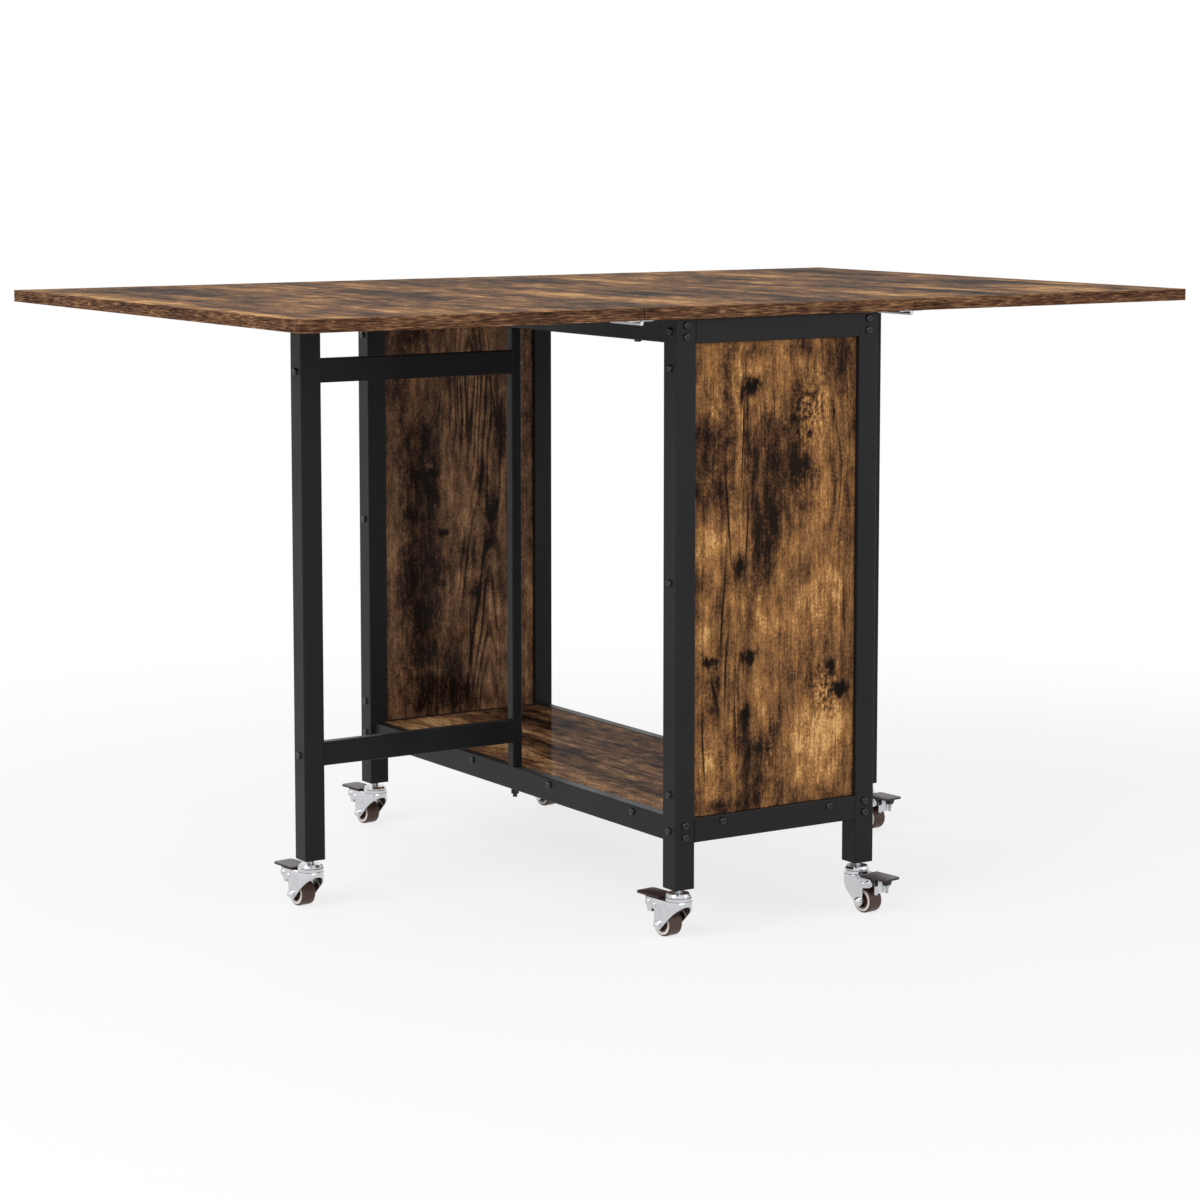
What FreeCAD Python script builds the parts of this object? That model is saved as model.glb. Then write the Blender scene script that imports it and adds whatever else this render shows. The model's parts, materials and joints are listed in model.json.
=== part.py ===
import FreeCAD, Part
import Sketcher
import math
import os

# A drop-leaf dining table on casters. Two gate legs swing out of a narrow base and carry the leaves.
# Frame: origin on the floor under the middle of the table, +X along the open top, +Z up. Millimetres.

doc = FreeCAD.newDocument("drop_leaf_table")
sheet = doc.addObject("Spreadsheet::Sheet", "sizes")

driving_sizes = {
    # Top boards
    "top_length": 1300,            # both leaves up
    "top_depth": 800,
    "top_height": 763,             # floor to the eating surface
    "centre_width": 400,           # fixed middle board, seam to seam
    "board_thickness": 15,
    "board_edge_round": 0.8,
    "seam_gap": 1.2,
    # Base frame
    "base_width": 298,             # over the legs, across the table
    "base_depth": 783,             # over the legs, along the seams
    "leg_side": 28,
    "tube_wall": 1.5,
    "tube_round": 1.6,
    "end_plate": 4,                # welded plate that closes a tube and takes a thread
    "rail_height": 30,
    "side_rail_thickness": 15,
    "bottom_rail_height": 118,     # floor to the underside of the bottom rails
    "panel_thickness": 15,
    "panel_play": 0.2,
    "shelf_thickness": 15,
    "shelf_drop": 0.5,             # shelf surface below the top of its rails
    "shelf_play": 0.2,
    # Button-head bolts
    "bolt_radius": 2.5,
    "bolt_head_radius": 4.2,
    "bolt_head_height": 2.8,
    "bolt_head_rim": 0.7,
    "bolt_play": 0.1,
    "bolt_bite": 20,               # shank in wood
    "thread_tail": 4,              # shank past an end plate
    "bolt_pair_pitch": 14.4,
    "panel_bolt_inset": 29,
    "shelf_bolt_pitch": 192,
    "shelf_end_bolt_pitch": 160,
    "top_screw_pitch": 576,
    "top_screw_bite": 10,
    # Flap hinges
    "hinge_length": 65,
    "hinge_inset": 6,              # hinge end to the board's end
    "hinge_plate_width": 18,
    "hinge_plate_thickness": 1.2,
    "hinge_corner_round": 3,
    "knuckle_radius": 2.5,
    "knuckle_gap": 0.3,
    "hinge_pin_radius": 1.3,
    "hinge_play": 0.06,
    # Gate frames
    "gate_reach": 300,             # pivot to the middle of the gate's leg
    "gate_post_side": 14,
    "gate_bar_height": 30,
    "gate_bar_thickness": 14,
    "gate_bar_drop": 44,           # top rail's underside to the middle of the upper bar
    "gate_bar_lift": 46.5,         # bottom rail's top to the middle of the lower bar
    "gate_head_gap": 0.5,          # gate leg's end to the leaf
    "pivot_radius": 3,
    "pivot_play": 0.06,
    "pivot_depth": 20,             # pivot bolt inside the post
    "pivot_end_gap": 0.3,
    "pivot_nut_flats": 10,
    "pivot_nut_height": 6.5,
    "pivot_tail": 4.5,
    "pivot_head_radius": 5,
    "pivot_head_height": 2.5,
    # Casters
    "caster_height": 62,           # floor to the leg's end
    "caster_trail": 19,
    "caster_heading": 97,          # degrees from +X to the left-hand group's trailing side
    "wheel_radius": 16,
    "wheel_width": 20,
    "tread_depth": 5,
    "tread_round": 2.5,
    "bond_gap": 0.05,
    "hub_rim": 2.6,
    "hub_web_width": 9,
    "hub_boss_radius": 5,
    "axle_radius": 3,
    "axle_play": 0.06,
    "axle_head_radius": 5,
    "axle_head_height": 2.4,
    "pin_head_chamfer": 0.8,
    "fork_radius": 16.5,
    "fork_sheet": 1.5,
    "fork_skirt": 4.8,             # hood depth at the front
    "fork_eye_radius": 6.5,
    "fork_plate_tail": 18,         # rear edge of the hood's top
    "fork_side_gap": 0.5,
    "stem_radius": 4,
    "stem_gap": 6,                 # thread that shows between cup and leg
    "stem_reach": 22,              # thread inside the leg
    "cup_radius": 16.2,
    "cup_height": 8.8,
    "cup_tier": 2.9,               # slanted shoulder of the upper race
    "cup_groove": 0.75,
    "swivel_gap": 0.4,
    "king_pin_play": 0.06,
    "king_pin_head_radius": 7.5,
    "king_pin_head_height": 2,
    # Brake pedal
    "pedal_pin_radius": 2,
    "pedal_pin_play": 0.06,
    "pedal_pin_reach": 26,         # behind the swivel axis
    "pedal_pin_drop": 7.8,         # below the hood's top
    "pedal_pin_head_radius": 3.2,
    "pedal_pin_head_height": 1.2,
    "ear_radius": 5.5,
    "rivet_reach": 37,             # behind the swivel axis
    "rivet_drop": 5.6,             # below the hood's top
    "rivet_radius": 2,
    "rivet_head_radius": 3.2,
    "rivet_head_height": 1.4,
    "pedal_start": 20.5,
    "pedal_end": 63,
    "pedal_rise": 2.7,             # paddle's top over the hood's top
    "pedal_plate": 2.4,
    "pedal_wall": 2,
    "pedal_skirt_end": 44,         # where the side walls run out
    "pedal_corner_round": 5,
    "pedal_side_gap": 0.6,
    "cam_width": 14,
    "cam_hub_radius": 4.6,
    "cam_gap": 0.6,                # cam to tread with the brake on
}

for row, (alias, number) in enumerate(driving_sizes.items(), start=1):
    sheet.set(f"A{row}", alias)
    sheet.set(f"B{row}", str(number))
    sheet.setAlias(f"B{row}", alias)
doc.recompute()


def size(alias):
    return float(sheet.get(alias))


def vec(x, y, z):
    return FreeCAD.Vector(x, y, z)


# Heights and places that several pieces share, written once as sheet expressions
under_top = "(sizes.top_height - sizes.board_thickness)"
top_rail_low = f"({under_top} - sizes.rail_height)"
bottom_rail_top = "(sizes.bottom_rail_height + sizes.rail_height)"
leg_x = "(sizes.base_width / 2 - sizes.leg_side / 2)"
leg_y = "(sizes.base_depth / 2 - sizes.leg_side / 2)"
inner_x = "(sizes.base_width / 2 - sizes.leg_side)"
inner_y = "(sizes.base_depth / 2 - sizes.leg_side)"
shelf_middle = f"({bottom_rail_top} - sizes.shelf_drop - sizes.shelf_thickness / 2)"
gate_head = f"({under_top} - sizes.gate_head_gap)"
upper_bar = f"({top_rail_low} - sizes.gate_bar_drop)"
lower_bar = f"({bottom_rail_top} + sizes.gate_bar_lift)"
post_low = f"({bottom_rail_top} + sizes.pivot_end_gap)"
post_high = f"({top_rail_low} - sizes.pivot_end_gap)"


def value(expression):
    return float(sheet.evalExpression(expression.replace("sizes.", "")))


nodes = {}


def keep(name, piece):
    piece.Label = name
    nodes[name] = piece
    return piece


# Sketch and body helpers
def origin_plane(body, role):
    return next(plane for plane in body.Origin.OriginFeatures if plane.Role == role)


def new_sketch(body, role, name, offset=None):
    sketch = body.newObject("Sketcher::SketchObject", name)
    sketch.AttachmentSupport = (origin_plane(body, role), [""])
    sketch.MapMode = "FlatFace"
    for axis, expression in (offset or {}).items():
        sketch.setExpression(f".AttachmentOffset.Base.{axis}", expression)
    return sketch


def centred_rectangle(sketch, width, height):
    half_w = value(width) / 2
    half_h = value(height) / 2
    signs = ((-1, -1), (1, -1), (1, 1), (-1, 1))
    corners = [vec(sx * half_w, sy * half_h, 0) for sx, sy in signs]
    for i in range(4):
        sketch.addGeometry(Part.LineSegment(corners[i], corners[(i + 1) % 4]))
    for i in range(4):
        sketch.addConstraint(Sketcher.Constraint("Coincident", i, 2, (i + 1) % 4, 1))
        sketch.addConstraint(Sketcher.Constraint("Horizontal" if i % 2 == 0 else "Vertical", i))
    sketch.addConstraint(Sketcher.Constraint("Symmetric", 0, 1, 2, 1, -1, 1))
    for line, (name, expression) in enumerate((("width", width), ("height", height))):
        index = sketch.addConstraint(Sketcher.Constraint("Distance", line, value(expression)))
        sketch.renameConstraint(index, name)
        sketch.setExpression(f"Constraints.{name}", expression)


def pad(body, sketch, length, midplane=False):
    feature = body.newObject("PartDesign::Pad", sketch.Name + "_pad")
    feature.Profile = sketch
    feature.Midplane = midplane
    feature.setExpression("Length", length)
    doc.recompute()
    return feature


def pocket(body, sketch, length=None, upward=False, midplane=False):
    before = body.Shape.Volume
    feature = body.newObject("PartDesign::Pocket", sketch.Name + "_pocket")
    feature.Profile = sketch
    feature.Midplane = midplane
    feature.Reversed = upward
    if length is None:
        feature.Type = "ThroughAll"
    else:
        feature.setExpression("Length", length)
    doc.recompute()
    if body.Shape.Volume >= before:
        raise RuntimeError(f"{feature.Name} cuts nothing")
    return feature


def turned(body, sketch):
    feature = body.newObject("PartDesign::Revolution", sketch.Name + "_turned")
    feature.Profile = sketch
    feature.ReferenceAxis = (sketch, ["V_Axis"])
    feature.Angle = 360
    doc.recompute()
    return feature


def outline(sketch, points):
    # A closed outline of straight runs. A pair of points as one entry is an arc: its middle and its end.
    here = points[0]
    for step in points[1:] + [points[0]]:
        if isinstance(step[0], tuple):
            middle, end = step
            curve = Part.Arc(vec(*here, 0), vec(*middle, 0), vec(*end, 0))
        else:
            end = step
            curve = Part.LineSegment(vec(*here, 0), vec(*end, 0))
        sketch.addGeometry(curve)
        here = end


def circle(sketch, centre, radius):
    sketch.addGeometry(Part.Circle(vec(*centre, 0), vec(0, 0, 1), radius))


def long_edges(shape, direction):
    names = []
    for index, edge in enumerate(shape.Edges, start=1):
        along = edge.tangentAt(edge.FirstParameter)
        if abs(along.dot(direction)) > 0.999:
            names.append(f"Edge{index}")
    return names


def rounded(body, feature, names, radius):
    fillet = body.newObject("PartDesign::Fillet", body.Name + "_round")
    fillet.Base = (feature, names)
    fillet.setExpression("Radius", radius)
    doc.recompute()
    return fillet


def new_body(name, turn=0.0):
    body = doc.addObject("PartDesign::Body", name)
    body.Placement = FreeCAD.Placement(vec(0, 0, 0), FreeCAD.Rotation(vec(0, 0, 1), turn))
    return body


def block(name, x_span, y_span, z_span):
    box = doc.addObject("Part::Box", name)
    for (low, high), side, axis in zip((x_span, y_span, z_span), ("Length", "Width", "Height"), "xyz"):
        box.setExpression(side, f"({high}) - ({low})")
        box.setExpression(f".Placement.Base.{axis}", low)
    return box


def set_shape(name, shape):
    piece = doc.addObject("Part::Feature", name)
    piece.Shape = shape
    return piece


def cut(name, base, tool):
    piece = doc.addObject("Part::Cut", name + "_cut")
    piece.Base = base
    piece.Tool = tool
    doc.recompute()
    return piece


# Bolts: each is a head centre, the way its shank goes and the shank's length
def base_bolts():
    side_x = size("base_width") / 2
    side_y = size("base_depth") / 2
    far_x = value(leg_x)
    far_y = value(leg_y)
    rail_lows = (size("bottom_rail_height"), value(top_rail_low))
    rail_middles = [low + size("rail_height") / 2 for low in rail_lows]
    panel_low = value(bottom_rail_top) + size("panel_bolt_inset")
    panel_high = value(top_rail_low) - size("panel_bolt_inset")
    panel_heights = [panel_low, (panel_low + panel_high) / 2, panel_high]
    into_rail = size("leg_side") + size("end_plate") + size("thread_tail")
    into_panel = size("leg_side") + size("bolt_bite")
    shelf_height = value(shelf_middle)
    bolts = []
    for sx in (-1, 1):
        for sy in (-1, 1):
            for height in rail_middles:
                bolts.append((vec(sx * side_x, sy * far_y, height), vec(-sx, 0, 0), into_rail))
                for step in (-0.5, 0.5):
                    lift = height + step * size("bolt_pair_pitch")
                    bolts.append((vec(sx * far_x, sy * side_y, lift), vec(0, -sy, 0), into_rail))
            for height in panel_heights:
                bolts.append((vec(sx * side_x, sy * far_y, height), vec(-sx, 0, 0), into_panel))
            end_bolt = vec(sx * size("shelf_end_bolt_pitch") / 2, sy * side_y, shelf_height)
            bolts.append((end_bolt, vec(0, -sy, 0), into_panel))
        rail_face = sx * (far_x + size("side_rail_thickness") / 2)
        for step in (-1.5, -0.5, 0.5, 1.5):
            place = vec(rail_face, step * size("shelf_bolt_pitch"), shelf_height)
            bolts.append((place, vec(-sx, 0, 0), size("side_rail_thickness") + size("bolt_bite")))
    return bolts


def top_bolts():
    length = size("rail_height") + size("top_screw_bite")
    places = []
    for sx in (-1, 1):
        for sy in (-1, 1):
            head = vec(sx * value(leg_x), sy * size("top_screw_pitch") / 2, value(top_rail_low))
            places.append((head, vec(0, 0, 1), length))
    return places


def gate_bolts():
    out = value(leg_x) + size("gate_reach") + size("leg_side") / 2
    into_leg = size("leg_side") + size("end_plate") + size("thread_tail")
    into_post = size("gate_post_side") + size("end_plate") + size("thread_tail")
    inner = value(leg_x) - size("gate_post_side") / 2
    bolts = []
    for height in (value(lower_bar), value(upper_bar)):
        bolts.append((vec(out, 0, height), vec(-1, 0, 0), into_leg))
        bolts.append((vec(inner, 0, height), vec(1, 0, 0), into_post))
    return bolts


def bolt_shape(head, way, length):
    radius = size("bolt_head_radius")
    rim = size("bolt_head_rim")
    crown = size("bolt_head_height")
    dome_middle = (radius * math.cos(math.pi / 4), rim + (crown - rim) * math.sin(math.pi / 4))
    dome = Part.Arc(vec(0, 0, crown), vec(dome_middle[0], 0, dome_middle[1]), vec(radius, 0, rim)).toShape()
    side = Part.makePolygon([
        vec(radius, 0, rim),
        vec(radius, 0, 0),
        vec(size("bolt_radius"), 0, 0),
        vec(size("bolt_radius"), 0, -length),
        vec(0, 0, -length),
        vec(0, 0, crown),
    ])
    face = Part.Face(Part.Wire([dome] + side.Edges))
    solid = face.revolve(vec(0, 0, 0), vec(0, 0, 1), 360)
    solid.Placement = FreeCAD.Placement(head, FreeCAD.Rotation(vec(0, 0, -1), way))
    return solid


def bolt_group(bolts):
    return Part.makeCompound([bolt_shape(*bolt) for bolt in bolts])


def bolt_holes(bolts):
    radius = size("bolt_radius") + size("bolt_play")
    return [Part.makeCylinder(radius, length + size("bolt_play"), head, way) for head, way, length in bolts]


frame_bolts = keep("frame_bolts", set_shape("frame_bolts", bolt_group(base_bolts())))
top_screws = keep("top_screws", set_shape("top_screws", bolt_group(top_bolts())))


# Pivot bolts: a stud and nut under each gate post, and a pan-head bolt in the top rail above it
def pivot_shapes(side):
    x = side * value(leg_x)
    radius = size("pivot_radius")
    low = size("bottom_rail_height")
    nut_low = low - size("pivot_nut_height")
    stud_low = nut_low - size("pivot_tail")
    stud_high = value(post_low) + size("pivot_depth")
    stud = Part.makeCylinder(radius, stud_high - stud_low, vec(x, 0, stud_low))
    across = size("pivot_nut_flats") / math.sqrt(3)
    turns = [k * math.pi / 3 for k in range(7)]
    corners = [vec(x + across * math.cos(turn), across * math.sin(turn), nut_low) for turn in turns]
    nut = Part.Face(Part.makePolygon(corners)).extrude(vec(0, 0, size("pivot_nut_height")))
    seat = value(top_rail_low) + size("tube_wall")
    shank_low = value(post_high) - size("pivot_depth")
    shank = Part.makeCylinder(radius, seat - shank_low, vec(x, 0, shank_low))
    head = Part.makeCylinder(size("pivot_head_radius"), size("pivot_head_height"), vec(x, 0, seat))
    return [stud.fuse(nut), shank.fuse(head)]


def pivot_holes(side):
    x = side * value(leg_x)
    play = size("bolt_play")
    low = size("bottom_rail_height")
    radius = size("pivot_radius") + play
    stud = Part.makeCylinder(radius, size("rail_height"), vec(x, 0, low))
    seat = value(top_rail_low) + size("tube_wall")
    shank = Part.makeCylinder(radius, size("tube_wall"), vec(x, 0, value(top_rail_low)))
    access = Part.makeCylinder(size("pivot_head_radius") + play, value(under_top) - seat, vec(x, 0, seat))
    return [stud, shank, access]


pivots = [shape for side in (-1, 1) for shape in pivot_shapes(side)]
keep("gate_pivot_bolts", set_shape("gate_pivot_bolts", Part.makeCompound(pivots)))


def stem_hole(x, y):
    radius = size("stem_radius") + size("bolt_play")
    return Part.makeCylinder(radius, size("end_plate"), vec(x, y, size("caster_height")))


base_hole_shapes = bolt_holes(base_bolts() + top_bolts()) + pivot_holes(-1) + pivot_holes(1)
base_hole_shapes += [stem_hole(sx * value(leg_x), sy * value(leg_y)) for sx in (-1, 1) for sy in (-1, 1)]


def drilled(name, blank):
    # Only the holes that reach this blank are cut in it
    doc.recompute()
    room = blank.Shape.BoundBox
    near = [hole for hole in base_hole_shapes if room.intersect(hole.BoundBox)]
    return keep(name, cut(name, blank, set_shape(name + "_holes", Part.makeCompound(near))))


# Top boards
def board(name, x_low, x_high):
    body = new_body(name + "_board")
    middle = f"(({x_low}) + ({x_high})) / 2"
    sketch = new_sketch(body, "XY_Plane", name + "_outline", {"x": middle, "z": under_top})
    centred_rectangle(sketch, f"({x_high}) - ({x_low})", "sizes.top_depth")
    slab = pad(body, sketch, "sizes.board_thickness")
    rounded(body, slab, [f"Edge{i + 1}" for i in range(len(slab.Shape.Edges))], "sizes.board_edge_round")
    return body


seam_side = "(sizes.centre_width / 2 - sizes.seam_gap / 2)"
leaf_inner = "(sizes.centre_width / 2 + sizes.seam_gap / 2)"
drilled("centre_top", board("centre_top", f"-{seam_side}", seam_side))
keep("leaf_right", board("leaf_right", leaf_inner, "sizes.top_length / 2"))
keep("leaf_left", board("leaf_left", "-sizes.top_length / 2", f"-{leaf_inner}"))


# Tubes closed by end plates: a section padded along its length, with a cavity cut inside it
def leg(name, x, top, y="0", roof="0", turn=0):
    body = new_body(name + "_tube", turn)
    bottom = "sizes.caster_height"
    section = new_sketch(body, "XY_Plane", name + "_section", {"x": x, "y": y, "z": bottom})
    centred_rectangle(section, "sizes.leg_side", "sizes.leg_side")
    tube = pad(body, section, f"{top} - {bottom}")
    rounded(body, tube, long_edges(tube.Shape, vec(0, 0, 1)), "sizes.tube_round")
    floor = f"({bottom} + sizes.end_plate)"
    bore = new_sketch(body, "XY_Plane", name + "_bore", {"x": x, "y": y, "z": floor})
    inside = "sizes.leg_side - 2 * sizes.tube_wall"
    centred_rectangle(bore, inside, inside)
    pocket(body, bore, f"{top} - {roof} - {floor}", upward=True)
    return body


def rail(name, role, offset, thickness, height, length, midplane=True, turn=0):
    body = new_body(name + "_tube", turn)
    section = new_sketch(body, role, name + "_section", offset)
    centred_rectangle(section, thickness, height)
    tube = pad(body, section, length, midplane)
    along = vec(0, 1, 0) if role == "XZ_Plane" else vec(1, 0, 0)
    rounded(body, tube, long_edges(tube.Shape, along), "sizes.tube_round")
    inset = dict(offset)
    if not midplane:
        inset["z"] = f"{offset['z']} + sizes.end_plate"
    bore = new_sketch(body, role, name + "_bore", inset)
    centred_rectangle(bore, f"{thickness} - 2 * sizes.tube_wall", f"{height} - 2 * sizes.tube_wall")
    pocket(body, bore, f"{length} - 2 * sizes.end_plate", upward=True, midplane=midplane)
    return body


ends = {"near": "-", "far": ""}
sides = {"left": "-", "right": ""}
levels = {
    "bottom": "sizes.bottom_rail_height + sizes.rail_height / 2",
    "top": f"{under_top} - sizes.rail_height / 2",
}

for end, y_sign in ends.items():
    for side, x_sign in sides.items():
        name = f"leg_{end}_{side}"
        drilled(name, leg(name, x_sign + leg_x, under_top, y_sign + leg_y))

for level, height in levels.items():
    for side, x_sign in sides.items():
        name = f"{level}_side_rail_{side}"
        place = {"x": x_sign + leg_x, "y": height}
        tube = rail(name, "XZ_Plane", place, "sizes.side_rail_thickness", "sizes.rail_height",
                    f"2 * {inner_y}")
        drilled(name, tube)
    for end, y_sign in ends.items():
        name = f"{level}_end_rail_{end}"
        place = {"x": y_sign + leg_y, "y": height}
        tube = rail(name, "YZ_Plane", place, "sizes.leg_side", "sizes.rail_height", f"2 * {inner_x}")
        drilled(name, tube)

# End panels between the legs, and the shelf between the bottom rails
for end, y_sign in ends.items():
    middle = y_sign + leg_y
    half_width = f"({inner_x} - sizes.panel_play)"
    panel = block(
        f"end_panel_{end}_board",
        (f"-{half_width}", half_width),
        (f"{middle} - sizes.panel_thickness / 2", f"{middle} + sizes.panel_thickness / 2"),
        (f"{bottom_rail_top} + sizes.panel_play", f"{top_rail_low} - sizes.panel_play"),
    )
    drilled(f"end_panel_{end}", panel)

shelf_half_width = f"({leg_x} - sizes.side_rail_thickness / 2 - sizes.shelf_play)"
shelf_half_depth = f"({inner_y} - sizes.shelf_play)"
shelf = block(
    "shelf_board",
    (f"-{shelf_half_width}", shelf_half_width),
    (f"-{shelf_half_depth}", shelf_half_depth),
    (f"{shelf_middle} - sizes.shelf_thickness / 2", f"{shelf_middle} + sizes.shelf_thickness / 2"),
)
drilled("shelf", shelf)


# Gate frames: drawn on the right-hand side, and turned half round for the left
def gate(name, turn):
    x_leg = f"({leg_x} + sizes.gate_reach)"
    bar_start = f"({leg_x} + sizes.gate_post_side / 2)"
    bar_end = f"({x_leg} - sizes.leg_side / 2)"
    holes = bolt_holes(gate_bolts())
    stand = Part.makeCompound(holes + [stem_hole(value(x_leg), 0)])
    swing = FreeCAD.Placement(vec(0, 0, 0), FreeCAD.Rotation(vec(0, 0, 1), turn))

    def bored(part_name, blank, shape):
        tool = set_shape(part_name + "_holes", shape)
        tool.Placement = swing
        return cut(part_name, blank, tool)

    leg_tube = leg(f"{name}_leg", x_leg, gate_head, roof="sizes.end_plate", turn=turn)
    keep(f"{name}_leg", bored(f"{name}_leg", leg_tube, stand))
    bars = []
    for level, height in (("lower", lower_bar), ("upper", upper_bar)):
        bar_name = f"{name}_{level}_bar"
        place = {"y": height, "z": bar_start}
        tube = rail(bar_name, "YZ_Plane", place, "sizes.gate_bar_thickness", "sizes.gate_bar_height",
                    f"({bar_end} - {bar_start})", midplane=False, turn=turn)
        bars.append(bored(bar_name, tube, Part.makeCompound(holes)))
    pair = doc.addObject("Part::Compound", f"{name}_bars")
    pair.Links = bars
    keep(f"{name}_bars", pair)

    post = new_body(f"{name}_post_tube", turn)
    section = new_sketch(post, "XY_Plane", f"{name}_post_section", {"x": leg_x, "z": post_low})
    centred_rectangle(section, "sizes.gate_post_side", "sizes.gate_post_side")
    tube = pad(post, section, f"{post_high} - {post_low}")
    rounded(post, tube, long_edges(tube.Shape, vec(0, 0, 1)), "sizes.tube_round")
    plug = "(sizes.pivot_depth + sizes.end_plate)"
    bore = new_sketch(post, "XY_Plane", f"{name}_post_bore", {"x": leg_x, "z": f"{post_low} + {plug}"})
    inside = "sizes.gate_post_side - 2 * sizes.tube_wall"
    centred_rectangle(bore, inside, inside)
    pocket(post, bore, f"{post_high} - {post_low} - 2 * {plug}", upward=True)
    radius = size("pivot_radius") + size("pivot_play")
    depth = value(plug)
    ends_bored = [
        Part.makeCylinder(radius, depth, vec(value(leg_x), 0, value(post_low))),
        Part.makeCylinder(radius, depth, vec(value(leg_x), 0, value(post_high) - depth)),
    ]
    keep(f"{name}_post", bored(f"{name}_post", post, Part.makeCompound(holes + ends_bored)))
    bolts = set_shape(f"{name}_bolts", bolt_group(gate_bolts()))
    bolts.Placement = swing
    keep(f"{name}_bolts", bolts)


gate("gate_right", 0)
gate("gate_left", 180)


# Flap hinges under the seams: two plates with knuckles that take turns along one pin
hinge_axis_z = value(under_top) - size("hinge_plate_thickness") - size("knuckle_radius")
knuckle_count = 5
hinges_per_seam = 3


def hinge_middles():
    reach = size("top_depth") / 2 - size("hinge_inset") - size("hinge_length") / 2
    return [reach * (2 * k / (hinges_per_seam - 1) - 1) for k in range(hinges_per_seam)]


def hinge_half(first):
    # Drawn with its plate towards +X from the pin. first tells which knuckles are its own.
    length = size("hinge_length")
    width = size("hinge_plate_width")
    thickness = size("hinge_plate_thickness")
    radius = size("knuckle_radius")
    notch = radius + size("knuckle_gap")
    step = length / knuckle_count
    corner = size("hinge_corner_round")
    plate = Part.makeBox(width - notch, length, thickness, vec(notch, -length / 2, radius))
    outer = [edge for edge in plate.Edges if edge.BoundBox.XMin > width - thickness / 2]
    upright = [edge for edge in outer if edge.BoundBox.YLength < thickness]
    half = plate.makeFillet(corner, upright)
    for k in range(first, knuckle_count, 2):
        low = -length / 2 + k * step + size("knuckle_gap") / 2
        run = step - size("knuckle_gap")
        barrel = Part.makeCylinder(radius, run, vec(0, low, 0), vec(0, 1, 0))
        curl = Part.makeBox(radius, run, radius, vec(0, low, 0))
        tab = Part.makeBox(notch, run, thickness, vec(0, low, radius))
        half = half.fuse([barrel, curl, tab])
    bore_radius = size("hinge_pin_radius") + size("hinge_play")
    bore = Part.makeCylinder(bore_radius, length, vec(0, -length / 2, 0), vec(0, 1, 0))
    return half.cut(bore).removeSplitter()


def hinge_pin():
    length = size("hinge_length")
    return Part.makeCylinder(size("hinge_pin_radius"), length, vec(0, -length / 2, 0), vec(0, 1, 0))


def hinge_row(shape, side, turn):
    spin = FreeCAD.Rotation(vec(0, 0, 1), turn)
    row = []
    for middle in hinge_middles():
        copy = shape.copy()
        copy.Placement = FreeCAD.Placement(vec(side * size("centre_width") / 2, middle, hinge_axis_z), spin)
        row.append(copy)
    return row


fixed_half = hinge_half(0)
leaf_half = hinge_half(1)
hinge_rows = {
    "hinge_fixed_plates": hinge_row(fixed_half, 1, 180) + hinge_row(fixed_half, -1, 0),
    "hinge_right_leaf_plates": hinge_row(leaf_half, 1, 0),
    "hinge_left_leaf_plates": hinge_row(leaf_half, -1, 180),
    "hinge_pins": hinge_row(hinge_pin(), 1, 0) + hinge_row(hinge_pin(), -1, 0),
}
for name, shapes in hinge_rows.items():
    keep(name, set_shape(name, Part.makeCompound(shapes)))

# Casters: drawn once with the swivel axis at the origin and the wheel trailing towards +X
axle_place = vec(size("caster_trail"), 0, size("wheel_radius"))
hood_height = "(sizes.caster_height - sizes.stem_gap - sizes.cup_height - sizes.swivel_gap)"
fork_top = value(hood_height)
pin_place = vec(size("pedal_pin_reach"), 0, fork_top - size("pedal_pin_drop"))
rivet_place = vec(size("rivet_reach"), 0, fork_top - size("rivet_drop"))


def caster_stem():
    body = new_body("stem_drawing")
    sketch = new_sketch(body, "XZ_Plane", "stem_half")
    stem = size("stem_radius")
    leg_end = size("caster_height")
    cup_top = leg_end - size("stem_gap")
    cup_low = cup_top - size("cup_height")
    cup = size("cup_radius")
    tier = size("cup_tier")
    groove = size("cup_groove")
    head_top = fork_top - size("fork_sheet") - size("swivel_gap")
    head_low = head_top - size("king_pin_head_height")
    outline(sketch, [
        (0, leg_end + size("stem_reach")),
        (stem, leg_end + size("stem_reach")),
        (stem, cup_top),
        (cup - tier, cup_top),
        (cup - groove, cup_top - tier),
        (cup - groove, cup_top - tier - groove),
        (cup - 2 * groove, cup_top - tier - groove),
        (cup - 2 * groove, cup_top - tier - 2 * groove),
        (cup, cup_top - tier - 3 * groove),
        (cup, cup_low),
        (stem, cup_low),
        (stem, head_top),
        (size("king_pin_head_radius"), head_top),
        (size("king_pin_head_radius"), head_low),
        (0, head_low),
    ])
    turned(body, sketch)
    return body


def fork_outline(radius, tail):
    return [(0, -radius), ((-radius, 0), (0, radius)), (tail, radius), (tail, -radius)]


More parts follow.
